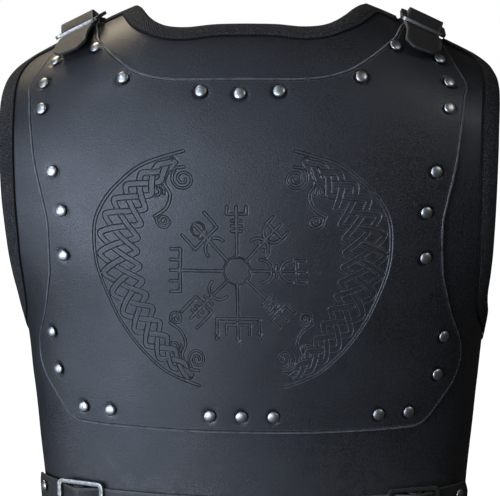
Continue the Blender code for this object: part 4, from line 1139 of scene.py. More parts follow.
def flesh_finish():
    """The rough inner side of the leather."""
    if "flesh_side_finish" in bpy.data.materials:
        return bpy.data.materials["flesh_side_finish"]
    material, tree, shader, place = new_material("flesh_side_finish")
    grain = use_group(tree, grain_group(), {"Vector": place, "Scale": 520.0})
    colour = mixed(tree, grain.outputs["Mottle"], (0.020, 0.018, 0.017), (0.045, 0.041, 0.038))
    colour = mixed(tree, maths(tree, "MULTIPLY", grain.outputs["Speckle"], 0.5), colour,
                   (0.075, 0.069, 0.064))
    rough = between(tree, grain.outputs["Speckle"], 0.0, 1.0, 0.78, 0.95)
    dress(tree, shader, colour, rough, (grain.outputs["Height"], 0.5, 0.0009), Sheen_Weight=0.25)
    return material


def strap_finish():
    """Strap leather, a little browner and smoother than the plate."""
    if "strap_leather_finish" in bpy.data.materials:
        return bpy.data.materials["strap_leather_finish"]
    material, tree, shader, place = new_material("strap_leather_finish")
    grain = use_group(tree, grain_group(), {"Vector": place, "Scale": 1150.0})
    base = bpy.context.scene.plate_straps.colour
    edge = node(tree, "ShaderNodeAttribute", attribute_name="edge")
    wear = use_group(tree, wear_and_glint_group(), {"Vector": place, "Edge": edge.outputs["Fac"]})
    colour = mixed(tree, grain.outputs["Mottle"], [0.5 * c for c in base], base)
    colour = mixed(tree, maths(tree, "MULTIPLY", grain.outputs["Speckle"], 0.60), colour,
                   (0.088, 0.076, 0.062))
    colour = mixed(tree, wear.outputs["Mask"], colour, (0.110, 0.102, 0.094))
    rough = between(tree, grain.outputs["Speckle"], 0.0, 1.0, 0.46, 0.66)
    dress(tree, shader, colour, rough, (grain.outputs["Height"], 0.55, 0.0006),
          Specular_IOR_Level=0.50)
    return material


def tape_finish():
    """Woven twill tape, with painted shade in the weave's hollows, painted highlight on its ribs and
    a painted shadow along its inner edge.
    """
    if "woven_tape_finish" in bpy.data.materials:
        return bpy.data.materials["woven_tape_finish"]
    base = bpy.context.scene.plate_tape.colour
    material, tree, shader, place = new_material("woven_tape_finish")
    flat = node(tree, "ShaderNodeUVMap", uv_map="tape")
    twill = use_group(tree, twill_group(), {"Vector": flat.outputs[0], "Pitch": 0.0027})
    fuzz = between(tree, noise(tree, place, 1000.0), 0.50, 0.68)
    # Painted shade and highlight: the weave's hollows are painted near black and its raised ribs at
    # the thread colour
    colour = mixed(tree, twill.outputs["Thread"], [0.06 * c for c in base], base)
    colour = mixed(tree, fuzz, colour, [2.2 * c for c in base])
    # Painted shadow: the tape is painted near black for its first part round from the inner edge,
    # where shade falls between tape and leather
    over = node(tree, "ShaderNodeSeparateXYZ", {0: flat.outputs[0]}).outputs[1]
    colour = mixed(tree, between(tree, over, 0.0011, 0.0018, 1.0, 0.0), colour,
                   (0.002, 0.002, 0.002))
    rough = between(tree, twill.outputs["Thread"], 0.0, 1.0, 0.92, 0.70)
    dress(tree, shader, colour, rough, (twill.outputs["Height"], 0.85, 0.0006),
          Specular_IOR_Level=0.25)
    return material


def thread_finish():
    """Waxed black sewing thread."""
    if "thread_finish" in bpy.data.materials:
        return bpy.data.materials["thread_finish"]
    material, tree, shader, place = new_material("thread_finish")
    twist = noise(tree, place, 2200.0, 1.0)
    colour = mixed(tree, twist, (0.016, 0.016, 0.017), (0.060, 0.060, 0.062))
    dress(tree, shader, colour, between(tree, twist, 0.0, 1.0, 0.45, 0.65))
    return material


def metal_finish(name, base, dull, rough, bump):
    """Handled metal: its dull share of the colour, its roughness range and its bump."""
    if name in bpy.data.materials:
        return bpy.data.materials[name]
    material, tree, shader, place = new_material(name)
    metal = use_group(tree, metal_group(), {"Vector": place})
    colour = mixed(tree, metal.outputs["Dull"], base, [dull * c for c in base])
    dress(tree, shader, colour, between(tree, metal.outputs["Dull"], 0.0, 1.0, *rough),
          (metal.outputs["Height"], bump, 0.0003), Metallic=1.0)
    return material


def nickel_finish():
    """Polished nickel of the rivets."""
    return metal_finish("nickel_finish", bpy.context.scene.plate_metal.nickel, 0.62,
                        (0.36, 0.50), 0.05)


def steel_finish():
    """Plated steel of the buckles, rubbed bright."""
    return metal_finish("buckle_steel_finish", bpy.context.scene.plate_metal.steel, 0.55,
                        (0.34, 0.46), 0.03)


# ---- Straps and buckles ----


def fold_height(thickness):
    """Height of a middle bar above the body leather."""
    return GAP + thickness + FOLD_INSIDE


def ring_radius():
    """Radius of the prong's ring, to the middle of its wire."""
    return math.hypot(MIDDLE_BAR, BUCKLE_THICKNESS) / 2.0 + FIT + PRONG_RADIUS


def folded(points, axis, start, direction, height, middle, stretch):
    """Fold what lies past a line up and back over itself, round a bar at a height."""
    points = points.copy()
    half_turn = math.pi * middle / stretch
    past = (points[:, axis] - start) * direction
    arm = height - points[:, 2]
    turn = np.clip(past / half_turn, 0.0, 1.0) * math.pi
    back = np.maximum(past - half_turn, 0.0)
    beyond = past > 0.0
    along = start + direction * (arm * np.sin(turn) / stretch - back)
    points[beyond, axis] = along[beyond]
    points[beyond, 2] = (height - arm * np.cos(turn))[beyond]
    return points


def station(torso, across, down, out, axis):
    """A strap's middle and crosswise direction at a pattern place, for a spline."""
    low, high = [across, down, out], [across, down, out]
    low[1 - axis] -= STATION_STEP
    high[1 - axis] += STATION_STEP
    over = (torso.point(*high) - torso.point(*low)).normalized()
    if axis == 0:
        over.negate()
    return (*torso.point(across, down, out), *(over * MM))


def buckle_stations(place, leather, sense, rear_drop):
    """A strap's stations through a buckle, from the rear bar to the front one."""
    crest = FOLD_INSIDE + leather + CREST_PLAY + STRAP_LEATHER / 2.0
    under = BUCKLE_THICKNESS / 2.0 + BAR_PLAY + STRAP_LEATHER / 2.0
    over = place.to_3x3().col[0].normalized() * (sense * MM)
    result = []
    for along, height in BUCKLE_PATH:
        low = under + (rear_drop if along > 0.0 else 0.0)
        middle = place @ Vector((0.0, along * BUCKLE_REACH, height * (crest + low) - low))
        result.append((*middle, *over))
    return result


def length_at(place, stations, lengths, value):
    """Length along a strap where it passes a distance from a buckle's middle bar."""
    inverse = place.inverted()
    alongs = [(inverse @ Vector(spot[:3])).y for spot in stations]
    for a, b, start, end in zip(alongs, alongs[1:], lengths, lengths[1:]):
        if min(a, b) <= value <= max(a, b) and abs(b - a) > TINY:
            return start + (end - start) * (value - a) / (b - a)
    raise ValueError("the strap does not pass that place")


def tip_width(left, reach):
    """Share of a strap's width at a distance from its tip, whose corners are cut off."""
    share = min(max(left, 0.0) / reach, 1.0)
    return min(TIP_FLAT + TIP_SPREAD * share ** TIP_CURVE, 1.0)


def lay_strap(stations, both_tips, buckles):
    """A flat strap cut from a grid, given its thickness and bent along its stations."""
    sizes = bpy.context.scene.plate_straps
    middles = np.array([spot[:3] for spot in stations])
    lengths = running_length(middles)
    total, half = lengths[-1], STRAP_WIDTH / 2.0
    all_off()
    bpy.ops.mesh.primitive_grid_add(x_subdivisions=STRAP_COLUMNS,
                                    y_subdivisions=round(total / STRAP_ROW),
                                    size=1.0, location=(0.0, 0.0, 0.0))
    thing = bpy.context.object
    bpy.ops.object.mode_set(mode="EDIT")
    bpy.ops.transform.resize(value=(STRAP_WIDTH, total, 1.0))
    bpy.ops.transform.translate(value=(0.0, total / 2.0, 0.0))
    for place in buckles:
        ends = sorted(length_at(place, stations, lengths, share * BUCKLE_REACH)
                      for share in PRONG_SLOT_ENDS)
        pick(thing, "FACE", lambda face: abs(face.calc_center_median().x) < PRONG_SLOT / 2.0
             and ends[0] < face.calc_center_median().y < ends[1])
        bpy.ops.mesh.delete(type="FACE")
    bpy.ops.object.mode_set(mode="OBJECT")
    for vert in thing.data.vertices:
        share = tip_width(total - vert.co.y, STRAP_TIP)
        if both_tips:
            share = min(share, tip_width(vert.co.y, STRAP_TIP))
        vert.co.x *= share
    modify(thing, "SOLIDIFY", thickness=sizes.thickness, offset=0.0)
    modify(thing, "BEVEL", width=sizes.edge_round, segments=3, limit_method="ANGLE",
           angle_limit=math.radians(50.0))
    overs = np.array([spot[3:] for spot in stations])
    overs /= np.linalg.norm(overs, axis=1)[:, None]
    outs = np.cross(overs, np.gradient(middles, axis=0))
    outs /= np.linalg.norm(outs, axis=1)[:, None]
    flat = np.empty(len(thing.data.vertices) * 3)
    thing.data.vertices.foreach_get("co", flat)
    flat = flat.reshape(-1, 3)
    edge = np.clip((np.abs(flat[:, 0]) - half + STRAP_WORN_FROM) / STRAP_WORN_OVER, 0.0, 1.0)

    def along(table):
        """The table's value at each point's length."""
        return np.stack([np.interp(flat[:, 1], lengths, table[:, k]) for k in range(3)], axis=1)

    world = along(middles) + along(overs) * flat[:, :1] + along(outs) * flat[:, 2:]
    thing.data.vertices.foreach_set("co", world.ravel())
    thing.data.update()
    set_values(thing, "edge", edge)
    face_outwards(thing.data)
    return thing


def rounded_block(size, radius, segments):
    """A block with rounded upright corners."""
    all_off()
    bpy.ops.mesh.primitive_cube_add(size=1.0, location=(0.0, 0.0, 0.0))
    thing = bpy.context.object
    bpy.ops.object.mode_set(mode="EDIT")
    bpy.ops.transform.resize(value=size)
    pick(thing, "EDGE", lambda edge: abs((edge.verts[0].co - edge.verts[1].co).z) > 0.5 * size[2])
    bpy.ops.mesh.bevel(offset=radius, segments=segments, affect="EDGES")
    bpy.ops.object.mode_set(mode="OBJECT")
    return thing


def cut_out(thing, cutter):
    """Cut one block out of another and remove the cutter."""
    modify(thing, "BOOLEAN", operation="DIFFERENCE", object=cutter, solver="EXACT")
    bpy.data.objects.remove(cutter)


def buckle_frame():
    """A flat frame with a middle bar: Y runs along the strap and Z outwards."""
    inside_x = STRAP_WIDTH / 2.0 + STRAP_SIDE_PLAY
    outside = (2.0 * (inside_x + BUCKLE_BAR), 2.0 * BUCKLE_REACH + BUCKLE_BAR)
    frame_block = rounded_block((*outside, FRAME_HEIGHT), BUCKLE_CORNER, 7)
    frame_block.location.z = (FRAME_HEIGHT - BUCKLE_THICKNESS) / 2.0
    window = BUCKLE_REACH - BUCKLE_BAR / 2.0 - MIDDLE_BAR / 2.0
    for side in (1.0, -1.0):
        cutter = rounded_block((2.0 * inside_x, window, 4.0 * BUCKLE_THICKNESS),
                               WINDOW_CORNER, 5)
        cutter.location.y = side * (MIDDLE_BAR + window) / 2.0
        cut_out(frame_block, cutter)
    top = rounded_block((2.0 * inside_x, 2.0 * BUCKLE_REACH - BUCKLE_BAR, FRAME_HEIGHT),
                        WINDOW_CORNER, 5)
    top.location.z = (FRAME_HEIGHT + BUCKLE_THICKNESS) / 2.0
    cut_out(frame_block, top)
    take(frame_block)
    bpy.ops.object.transform_apply(location=True, rotation=True, scale=True)
    modify(frame_block, "BEVEL", width=FRAME_ROUND, segments=3, limit_method="ANGLE",
           angle_limit=math.radians(40.0))
    return frame_block


def buckle_prong():
    """Wire turned round the middle bar and laid on the bar behind it."""
    radius = ring_radius()
    all_off()
    bpy.ops.mesh.primitive_circle_add(vertices=PRONG_SIDES, radius=PRONG_RADIUS,
                                      fill_type="NOTHING", location=(0.0, 0.0, 0.0),
                                      rotation=(math.pi / 2.0, 0.0, 0.0))
    thing = bpy.context.object
    bpy.ops.object.transform_apply(location=True, rotation=True, scale=True)
    bpy.ops.object.mode_set(mode="EDIT")
    bpy.ops.transform.translate(value=(0.0, 0.0, radius))
    bpy.ops.mesh.spin(steps=PRONG_SPIN_STEPS, angle=PRONG_TURN, center=(0.0, 0.0, 0.0),
                      axis=(1.0, 0.0, 0.0))
    pick(thing, "EDGE", lambda edge: all(abs(v.co.y) < 1e-5 and v.co.z > 0.5 * radius
                                         for v in edge.verts))
    tip = Vector((0.0, BUCKLE_REACH + BUCKLE_BAR / 2.0,
                  FRAME_HEIGHT - BUCKLE_THICKNESS / 2.0 + PRONG_RADIUS + GAP))
    run = tip - Vector((0.0, 0.0, radius))
    for share in PRONG_SHARES:
        bpy.ops.mesh.extrude_region_move(TRANSFORM_OT_translate={"value": tuple(run * share)})
    bpy.ops.transform.resize(value=(PRONG_END, 1.0, PRONG_END))
    pick(thing, "EDGE", lambda edge: len(edge.link_faces) == 1)
    bpy.ops.mesh.fill_holes(sides=0)
    bpy.ops.mesh.select_all(action="SELECT")
    bpy.ops.mesh.normals_make_consistent(inside=False)
    bpy.ops.object.mode_set(mode="OBJECT")
    return thing


def place_buckle(frame_block, prong, place, word, kind):
    """Copy a buckle and its prong to their place."""
    for thing, part in ((frame_block, "buckle"), (prong, "prong")):
        copy = copy_to(thing, place)
        settle(copy, f"{kind}_{part}_steel_{word}", [steel_finish()],
               [f"{kind}_{part}_{word}"])


class BREASTPLATE_OT_body(bpy.types.Operator):
    """Form the body leather, from the shoulders to the hem."""
    bl_idname = "breastplate.body"
    bl_label = "Body Leather"

    def execute(self, context):
        """Build the piece."""
        torso, sizes = torso_now(), context.scene.plate_leather
        edge = outline_line(torso, BODY_OUTLINE, BODY_STEP)
        edge = edge[:-1] + straight([edge[-1], (torso.half_girth, torso.length),
                                     (0.0, torso.length)], BODY_HEM_STEP)[:-1]
        ring = edge + [(0.0, torso.length)] + other_half(edge)
        thing = formed_leather("body", torso, [ring], -BODY_LEATHER, 0.0, 1.3 * sizes.mesh_size)
        settle(thing, "formed_body_leather", [leather_finish(), flesh_finish()],
               ["body_panel"])
        mark_inside(thing, 0.10)
        return {"FINISHED"}


class BREASTPLATE_OT_chest(bpy.types.Operator):
    """Form the chest overlay, with its pressed pattern and its folded tongues."""
    bl_idname = "breastplate.chest"
    bl_label = "Chest Overlay"

    def execute(self, context):
        """Build the piece."""
        torso, sizes = torso_now(), context.scene.plate_leather
        height, middle = fold_height(CHEST_LEATHER), FOLD_INSIDE + CHEST_LEATHER / 2.0
        bar = (SHOULDER_STRAP_ACROSS, SHOULDER_BAR_DOWN, height)
        wide, tall = torso.stretch(bar, 0), torso.stretch(bar, 1)
        half, fold = STRAP_WIDTH / 2.0 / wide, math.pi * middle / tall
        inner, outer = SHOULDER_STRAP_ACROSS - half, SHOULDER_STRAP_ACROSS + half
        start, end = SHOULDER_BAR_DOWN + TONGUE_START * BUCKLE_REACH, SHOULDER_BAR_DOWN - fold
        neck = outline_line(torso, CHEST_OUTLINE, CHEST_STEP)
        side = outline_line(torso, CHEST_SIDE, CHEST_STEP)
        tongue = straight([neck[-1], (inner, start), (inner, end), (outer, end), (outer, start),
                           side[0]], TONGUE_STEP)
        edge = neck[:-1] + tongue + side[1:]
        ring = edge + other_half(edge)
        room = (ring_radius() + PRONG_RADIUS + 2.0 * FIT) / tall
        slots = [straight([(x - PRONG_SLOT / 2.0, end + 0.002), (x + PRONG_SLOT / 2.0, end + 0.002),
                           (x + PRONG_SLOT / 2.0, SHOULDER_BAR_DOWN + room),
                           (x - PRONG_SLOT / 2.0, SHOULDER_BAR_DOWN + room),
                           (x - PRONG_SLOT / 2.0, end + 0.002)], TONGUE_STEP)[:-1]
                 for x in (-SHOULDER_STRAP_ACROSS, SHOULDER_STRAP_ACROSS)]
        strokes = stave_strokes(sizes.band) + plait_strokes(sizes.band)
        crease = moved_in(wound(ring, 1.0), CREASE_INSET)
        strokes.append((np.vstack((crease, crease[:1])), None, 0.0))
        places = [(across, down) for _, across, down in rivet_places(torso)]
        radius = context.scene.plate_metal.rivet_radius
        seeds = stroke_seeds(strokes, sizes.line) + dimple_seeds(places, radius)
        rings = [np.array(ring)] + [np.array(slot) for slot in slots]
        fold_rows = np.array([(side * (inner + (outer - inner) * i / 10.0), end + TONGUE_STEP * k)
                              for side in (-1.0, 1.0) for i in range(1, 10)
                              for k in range(1, int((start - end) / TONGUE_STEP))])
        fold_rows = [tuple(p) for p in fold_rows[inside(fold_rows, rings)]]
        folds = clear_of(fold_rows, [tuple(p) for r in rings for p in r], 0.0008)

        def relief(points):
            """Pressed lines and rivet dimples."""
            lines = pressed(points, strokes, sizes.line, sizes.press)
            return np.minimum(lines, dimples(points, places, radius, sizes.dimple))

        def rubbed(points):
            """Painted highlight on the shoulders of the pressed lines, given as edge values."""
            wide = pressed(points, strokes, 2.0 * sizes.line, 1.0)
            return SHOULDER_PAINTED_GLINT * (pressed(points, strokes, sizes.line, 1.0) - wide)

        def bend(points):
            """Fold the tongues round the shoulder bars."""
            return folded(points, 1, SHOULDER_BAR_DOWN, -1.0, height, middle, tall)

        thing = formed_leather("chest", torso, rings, GAP, GAP + CHEST_LEATHER, sizes.mesh_size,
                               seeds, folds, relief, rubbed, bend)
        settle(thing, "chest_overlay_leather", [leather_finish(), flesh_finish()],
               ["chest_panel"], 33.0)
        return {"FINISHED"}


class BREASTPLATE_OT_tapes(bpy.types.Operator):
    """Fold woven tape round the neck and armhole edges, and sew it down."""
    bl_idname = "breastplate.tapes"
    bl_label = "Edge Tapes"

    def profile(self):
        """Section of the tape as (reach, out, distance round the tape)."""
        high, low = GAP + TAPE_THICKNESS, -BODY_LEATHER - GAP - TAPE_THICKNESS
        middle, radius = (high + low) / 2.0, (high - low) / 2.0
        seam = bpy.context.scene.plate_tape.seam
        outer = [(-TAPE_WIDTH, high - 0.0007), (-TAPE_WIDTH + 0.0002, high - 0.0002),
                 (-TAPE_WIDTH + 0.0007, high), (-TAPE_WIDTH + seam - 0.0008, high),
                 (-TAPE_WIDTH + seam, high - 0.0004), (-TAPE_WIDTH + seam + 0.0008, high)]
        outer += [(-TAPE_WIDTH * share, high + 0.0003) for share in (0.6, 0.4, 0.2)]
        outer += [(TAPE_EDGE_GAP - 0.0006 + (radius + 0.0002) * math.sin(a),
                   middle + radius * math.cos(a))
                  for a in (math.pi * k / 8.0 for k in range(9))]
        outer += [(-TAPE_WIDTH * 0.5, low), (-TAPE_WIDTH + 0.0003, low),
                  (-TAPE_WIDTH, low + 0.0004)]
        hollow = [(-TAPE_WIDTH, -BODY_LEATHER - GAP), (TAPE_EDGE_GAP, -BODY_LEATHER - GAP),
                  (TAPE_EDGE_GAP, GAP), (-TAPE_WIDTH, GAP)]
        return outer + hollow

    def edge_directions(self, line, ends_on_seam):
        """Outward directions along an edge line, mitred at its corners."""
        result = []
        for i in range(len(line)):
            normals = []
            for a, b in ((i - 1, i), (i, i + 1)):
                if a >= 0 and b < len(line):
                    run = (Vector(line[b]) - Vector(line[a])).normalized()
                    normals.append(Vector((run.y, -run.x)))
            total = sum(normals, Vector((0.0, 0.0))).normalized()
            result.append(total / max(total.dot(normals[0]), MITRE_LIMIT))
        if ends_on_seam:
            reach = 1.0 / max(abs(total.y), MITRE_LIMIT)
            result[-1] = Vector((0.0, math.copysign(reach, total.y)))
        return result

    def thin_corners(self, line):
        """Drop samples so near a sharp corner that the tape's inner edge would cross."""
        sharp = []
        for a, b, c in zip(line, line[1:], line[2:]):
            turn = (Vector(b) - Vector(a)).angle(Vector(c) - Vector(b))
            if turn > SHARP_TURN:
                sharp.append((Vector(b), TAPE_WIDTH * math.tan(turn / 2.0) * CORNER_ROOM))
        return [p for i, p in enumerate(line) if i in (0, len(line) - 1)
                or all((Vector(p) - corner).length >= room or (Vector(p) - corner).length < TINY
                       for corner, room in sharp)]

    def tape(self, torso, line, side, ends_on_seam, name, nodes):
        """One length of tape."""
        line = self.thin_corners(line)
        profile = self.profile()
        rows = []
        for spot, out in zip(line, self.edge_directions(line, ends_on_seam)):
            rows.append([((spot[0] + out.x * reach) * side, spot[1] + out.y * reach, high)
                         for reach, high in profile])
        n = len(profile)
        points = [p for row in rows for p in row]
        faces = [(i * n + k, i * n + (k + 1) % n, (i + 1) * n + (k + 1) % n, (i + 1) * n + k)
                 for i in range(len(rows) - 1) for k in range(n)]
        faces += [tuple(range(n)), tuple(reversed(range((len(rows) - 1) * n, len(rows) * n)))]
        thing = new_piece(name, torso.place(points), faces)
        round_it, along = running_length(profile), running_length(line)
        layer = thing.data.uv_layers.new(name="tape")
        for loop in thing.data.loops:
            row, k = divmod(loop.vertex_index, n)
            layer.data[loop.index].uv = (along[row], round_it[k])
        settle(thing, name, [tape_finish()], nodes, 60.0)

    def stitches(self, torso, line, side, ends_on_seam, name):
        """The sewn line beside the tape's inner edge, one short rounded stitch after another."""
        sizes = bpy.context.scene.plate_tape
        line = self.thin_corners(line)
        directions = self.edge_directions(line, ends_on_seam)
        reach = -TAPE_WIDTH + sizes.seam
        path = [(np.array(p) + np.array(d) * reach) for p, d in zip(line, directions)]
        flat = np.array([(p[0] * side, p[1], GAP + TAPE_THICKNESS - 0.0002) for p in path])
        world = torso.place(flat)
        lengths = running_length(world)
        normals = torso.normals(flat[:, 0], flat[:, 1])

        def at(table, value):
            """The table's value at a length."""
            return Vector([np.interp(value, lengths, table[:, k]) for k in range(3)])

        points, faces = [], []
        pitch, radius, n = STITCH_PITCH * sizes.stitch, STITCH_RADIUS, STITCH_SIDES
        for number in range(int((lengths[-1] - 2.0 * STITCH_MARGIN) / pitch)):
            start = STITCH_MARGIN + number * pitch
            run = at(world, start + sizes.stitch) - at(world, start)
            out = at(normals, start + 0.5 * sizes.stitch).normalized()
            over = out.cross(run.normalized())
            base = len(points)
            for share, width, lift in STITCH_SHAPE:
                middle = at(world, start) + run * share + out * (radius * lift)
                if width == 0.0:
                    points.append(middle)
                    continue
                points += [middle + over * (radius * width * math.cos(a))
                           + out * (radius * width * math.sin(a))
                           for a in (math.tau * k / n for k in range(n))]
            rings = [base + 1 + n * k for k in range(len(STITCH_SHAPE) - 2)]
            for low, high in zip(rings, rings[1:]):
                faces += [(low + k, low + (k + 1) % n, high + (k + 1) % n, high + k)
                          for k in range(n)]
            faces += [(base, rings[0] + (k + 1) % n, rings[0] + k) for k in range(n)]
            faces += [(rings[-1] + n, rings[-1] + k, rings[-1] + (k + 1) % n) for k in range(n)]
        thing = new_piece(name, points, faces)
        settle(thing, name, [thread_finish()], [], 80.0)

    def execute(self, context):
        """Build the pieces."""
        torso = torso_now()
        edge = outline_line(torso, BODY_OUTLINE, BODY_STEP)
        free = STRAP_WIDTH / 2.0 + STRAP_SIDE_PLAY + BUCKLE_BAR + 2.0 * GAP
        inner, outer = SHOULDER_STRAP_ACROSS - free, SHOULDER_STRAP_ACROSS + free
        top = min(range(len(edge)), key=lambda i: abs(edge[i][0] - SHOULDER_STRAP_ACROSS))
        neck = [p for p in edge[:top] if p[0] < inner - 0.001]
        neck.append((inner, edge[top][1]))
        arm = [(outer, edge[top][1])] + [p for p in edge[top:] if p[0] > outer + 0.001]
        self.tape(torso, mirrored(neck), 1.0, False, "neck_tape", ["neck_binding"])
        self.stitches(torso, mirrored(neck), 1.0, False, "neck_tape_stitches")
        for word, side in SIDES:
            self.tape(torso, arm, side, True, f"armhole_tape_{word}", [f"armhole_binding_{word}"])
            self.stitches(torso, arm, side, True, f"armhole_tape_stitches_{word}")
        return {"FINISHED"}


class BREASTPLATE_OT_rivets(bpy.types.Operator):
    """Set the domed rivets."""
    bl_idname = "breastplate.rivets"
    bl_label = "Rivets"

    def dome(self, shank_length):
        """One rivet, its cap's rim at the origin."""
        sizes = bpy.context.scene.plate_metal
        radius = sizes.rivet_radius
        all_off()
        bpy.ops.mesh.primitive_uv_sphere_add(segments=22, ring_count=14, radius=radius,
                                             location=(0.0, 0.0, 0.0))
        thing = bpy.context.object
        bpy.ops.object.mode_set(mode="EDIT")
        bpy.ops.mesh.select_all(action="SELECT")
        bpy.ops.mesh.bisect(plane_co=(0.0, 0.0, 0.0), plane_no=(0.0, 0.0, 1.0), clear_inner=True,
                            use_fill=True)
        bpy.ops.mesh.select_all(action="SELECT")
        bpy.ops.transform.resize(value=(1.0, 1.0, sizes.rivet_height / radius))
        pick(thing, "FACE", lambda face: face.normal.z < -0.9)
        bpy.ops.mesh.extrude_region_move(TRANSFORM_OT_translate={"value": (0.0, 0.0, -CAP_SIDE)})
        bpy.ops.mesh.inset(thickness=radius - RIVET_SHANK)
        bpy.ops.mesh.extrude_region_move(TRANSFORM_OT_translate={"value": (0, 0, -shank_length)})
        bpy.ops.mesh.extrude_region_move(TRANSFORM_OT_translate={"value": (0.0, 0.0, 0.0)})
        wider = RIVET_BACK_RADIUS / RIVET_SHANK
        bpy.ops.transform.resize(value=(wider, wider, 1.0))
        bpy.ops.mesh.extrude_region_move(
            TRANSFORM_OT_translate={"value": (0.0, 0.0, -RIVET_BACK_HEIGHT)})
        bpy.ops.transform.resize(value=(0.7, 0.7, 1.0))
        bpy.ops.mesh.select_all(action="SELECT")
        bpy.ops.mesh.normals_make_consistent(inside=False)
        bpy.ops.object.mode_set(mode="OBJECT")
        return thing

    def execute(self, context):
        """Build the pieces."""
        torso, dimple = torso_now(), context.scene.plate_leather.dimple
        chest_top = GAP + CHEST_LEATHER - dimple + CAP_SIDE
        tab_top = 2.0 * GAP + 2.0 * STRAP_LEATHER + TAB_RIVET_LIFT
        for places, top in ((rivet_places(torso), chest_top), (waist_rivet_places(), tab_top)):
            rivet = self.dome(top + BODY_LEATHER + RIVET_BACK_GAP - CAP_SIDE)
            for name, across, down in places:
                copy = copy_to(rivet, torso.stand(across, down, top))
                settle(copy, name + "_dome", [nickel_finish()], [name], 35.0)
            bpy.data.objects.remove(rivet)
        return {"FINISHED"}


class BREASTPLATE_OT_shoulders(bpy.types.Operator):
    """Lay the shoulder straps through their buckles."""
    bl_idname = "breastplate.shoulders"
    bl_label = "Shoulder Straps"

    def execute(self, context):
        """Build the pieces."""
        torso, frame_block, prong = torso_now(), buckle_frame(), buckle_prong()
        for word, side in SIDES:
            across, bar = side * SHOULDER_STRAP_ACROSS, SHOULDER_BAR_DOWN
            place = torso.stand(across, bar, fold_height(CHEST_LEATHER))
            place = place @ Matrix.Rotation(-SHOULDER_TILT, 4, "X")
            place_buckle(frame_block, prong, place, word, "shoulder")
            tail = [station(torso, across, bar - share * SHOULDER_TAIL, out, 1)
                    for share, out in SHOULDER_TAIL_LINE]
            tip = [station(torso, across - side * TIP_SWING * (share - 0.4),
                           bar + share * SHOULDER_TIP, out, 1)
                   for share, out in SHOULDER_TIP_LINE]
            middle = buckle_stations(place, CHEST_LEATHER, 1.0, REAR_DROP)
            strap = lay_strap(spline(tail[::-1] + middle + tip[::-1], STRAP_STEP), False, [place])
            settle(strap, f"shoulder_strap_leather_{word}", [strap_finish()],
                   [f"shoulder_strap_{word}"], 50.0)
        for thing in (frame_block, prong):
            bpy.data.objects.remove(thing)
        return {"FINISHED"}


class BREASTPLATE_OT_waist(bpy.types.Operator):
    """Fold the waist tabs round their buckles and lay the belt between them."""
    bl_idname = "breastplate.waist"
    bl_label = "Waist Belt"

    def tab(self, torso, word, side):
        """One riveted tab."""
        start, middle = side * WAIST_BAR_ACROSS, FOLD_INSIDE + STRAP_LEATHER / 2.0
        height = fold_height(STRAP_LEATHER)
        wide = torso.stretch((start, WAIST_DOWN, height), 0)
        turn = math.pi * middle / wide
        half, inset, cut = WAIST_TAB_WIDTH / 2.0, TAB_RETURN_INSET, WAIST_TAB_CHAMFER
        low_end, high_end = -turn - WAIST_TAB_LENGTH, WAIST_RETURN_LENGTH
        ring = [(high_end, half - inset - cut), (high_end - cut, half - inset),
                (TAB_NARROWS[1] * high_end, half - inset), (TAB_NARROWS[0] * high_end, half),
                (low_end + cut, half), (low_end, half - cut)]
        ring += [(x, -y) for x, y in reversed(ring)]
        ring = np.array(straight(ring + ring[:1], TAB_STEP)[:-1])
        room = (ring_radius() + PRONG_RADIUS + 2.0 * FIT) / wide
        slot = straight([(-turn - room, -PRONG_SLOT / 2.0), (room, -PRONG_SLOT / 2.0),
                         (room, PRONG_SLOT / 2.0), (-turn - room, PRONG_SLOT / 2.0),
                         (-turn - room, -PRONG_SLOT / 2.0)], TAB_SLOT_STEP)[:-1]

        def bend(points):
            """Fold the tab round its bar, then bring the folded half down on the other."""
            past = -turn - points[:, 0]
            points = folded(points, 0, 0.0, -1.0, height, middle, wide)
            share = (past / BUCKLE_REACH - WAIST_RAMP[0]) / (WAIST_RAMP[1] - WAIST_RAMP[0])
            points[:, 2] -= (2.0 * FOLD_INSIDE - GAP) * smooth_step(np.clip(share, 0.0, 1.0))
            points[:, 0] = start + side * points[:, 0]
            points[:, 1] += WAIST_DOWN
            return points

        thing = formed_leather("tab", torso, [ring, np.array(slot)], GAP, GAP + STRAP_LEATHER,
                               TAB_MESH, bend=bend)
        settle(thing, f"waist_tab_leather_{word}", [strap_finish()],
               [f"waist_tab_{word}"], 50.0)

    def execute(self, context):
        """Build the pieces."""
        torso, frame_block, prong = torso_now(), buckle_frame(), buckle_prong()
        halves, places = [], []
        for word, side in SIDES:
            self.tab(torso, word, side)
            place = torso.stand(side * WAIST_BAR_ACROSS, WAIST_DOWN, fold_height(STRAP_LEATHER))
            place = place @ Matrix.Rotation(side * math.pi / 2.0, 4, "Z")
            place = place @ Matrix.Rotation(-WAIST_TILT, 4, "X")
            place_buckle(frame_block, prong, place, word, "waist")
            halves.append(buckle_stations(place, STRAP_LEATHER, side, 0.0))
            places.append(place)
        for thing in (frame_block, prong):
            bpy.data.objects.remove(thing)
        reach, flat = WAIST_BAR_ACROSS - BELLY_START * BUCKLE_REACH, GAP + STRAP_LEATHER / 2.0
        belly = [station(torso, across, WAIST_DOWN, flat + 0.0003, 0)
                 for across in np.linspace(-reach, reach, 21)]
        stations = spline(halves[0][::-1] + belly + halves[1], STRAP_STEP)
        belt = lay_strap(stations, True, places)
        settle(belt, "waist_belt_leather", [strap_finish()], ["waist_strap"], 50.0)
        return {"FINISHED"}


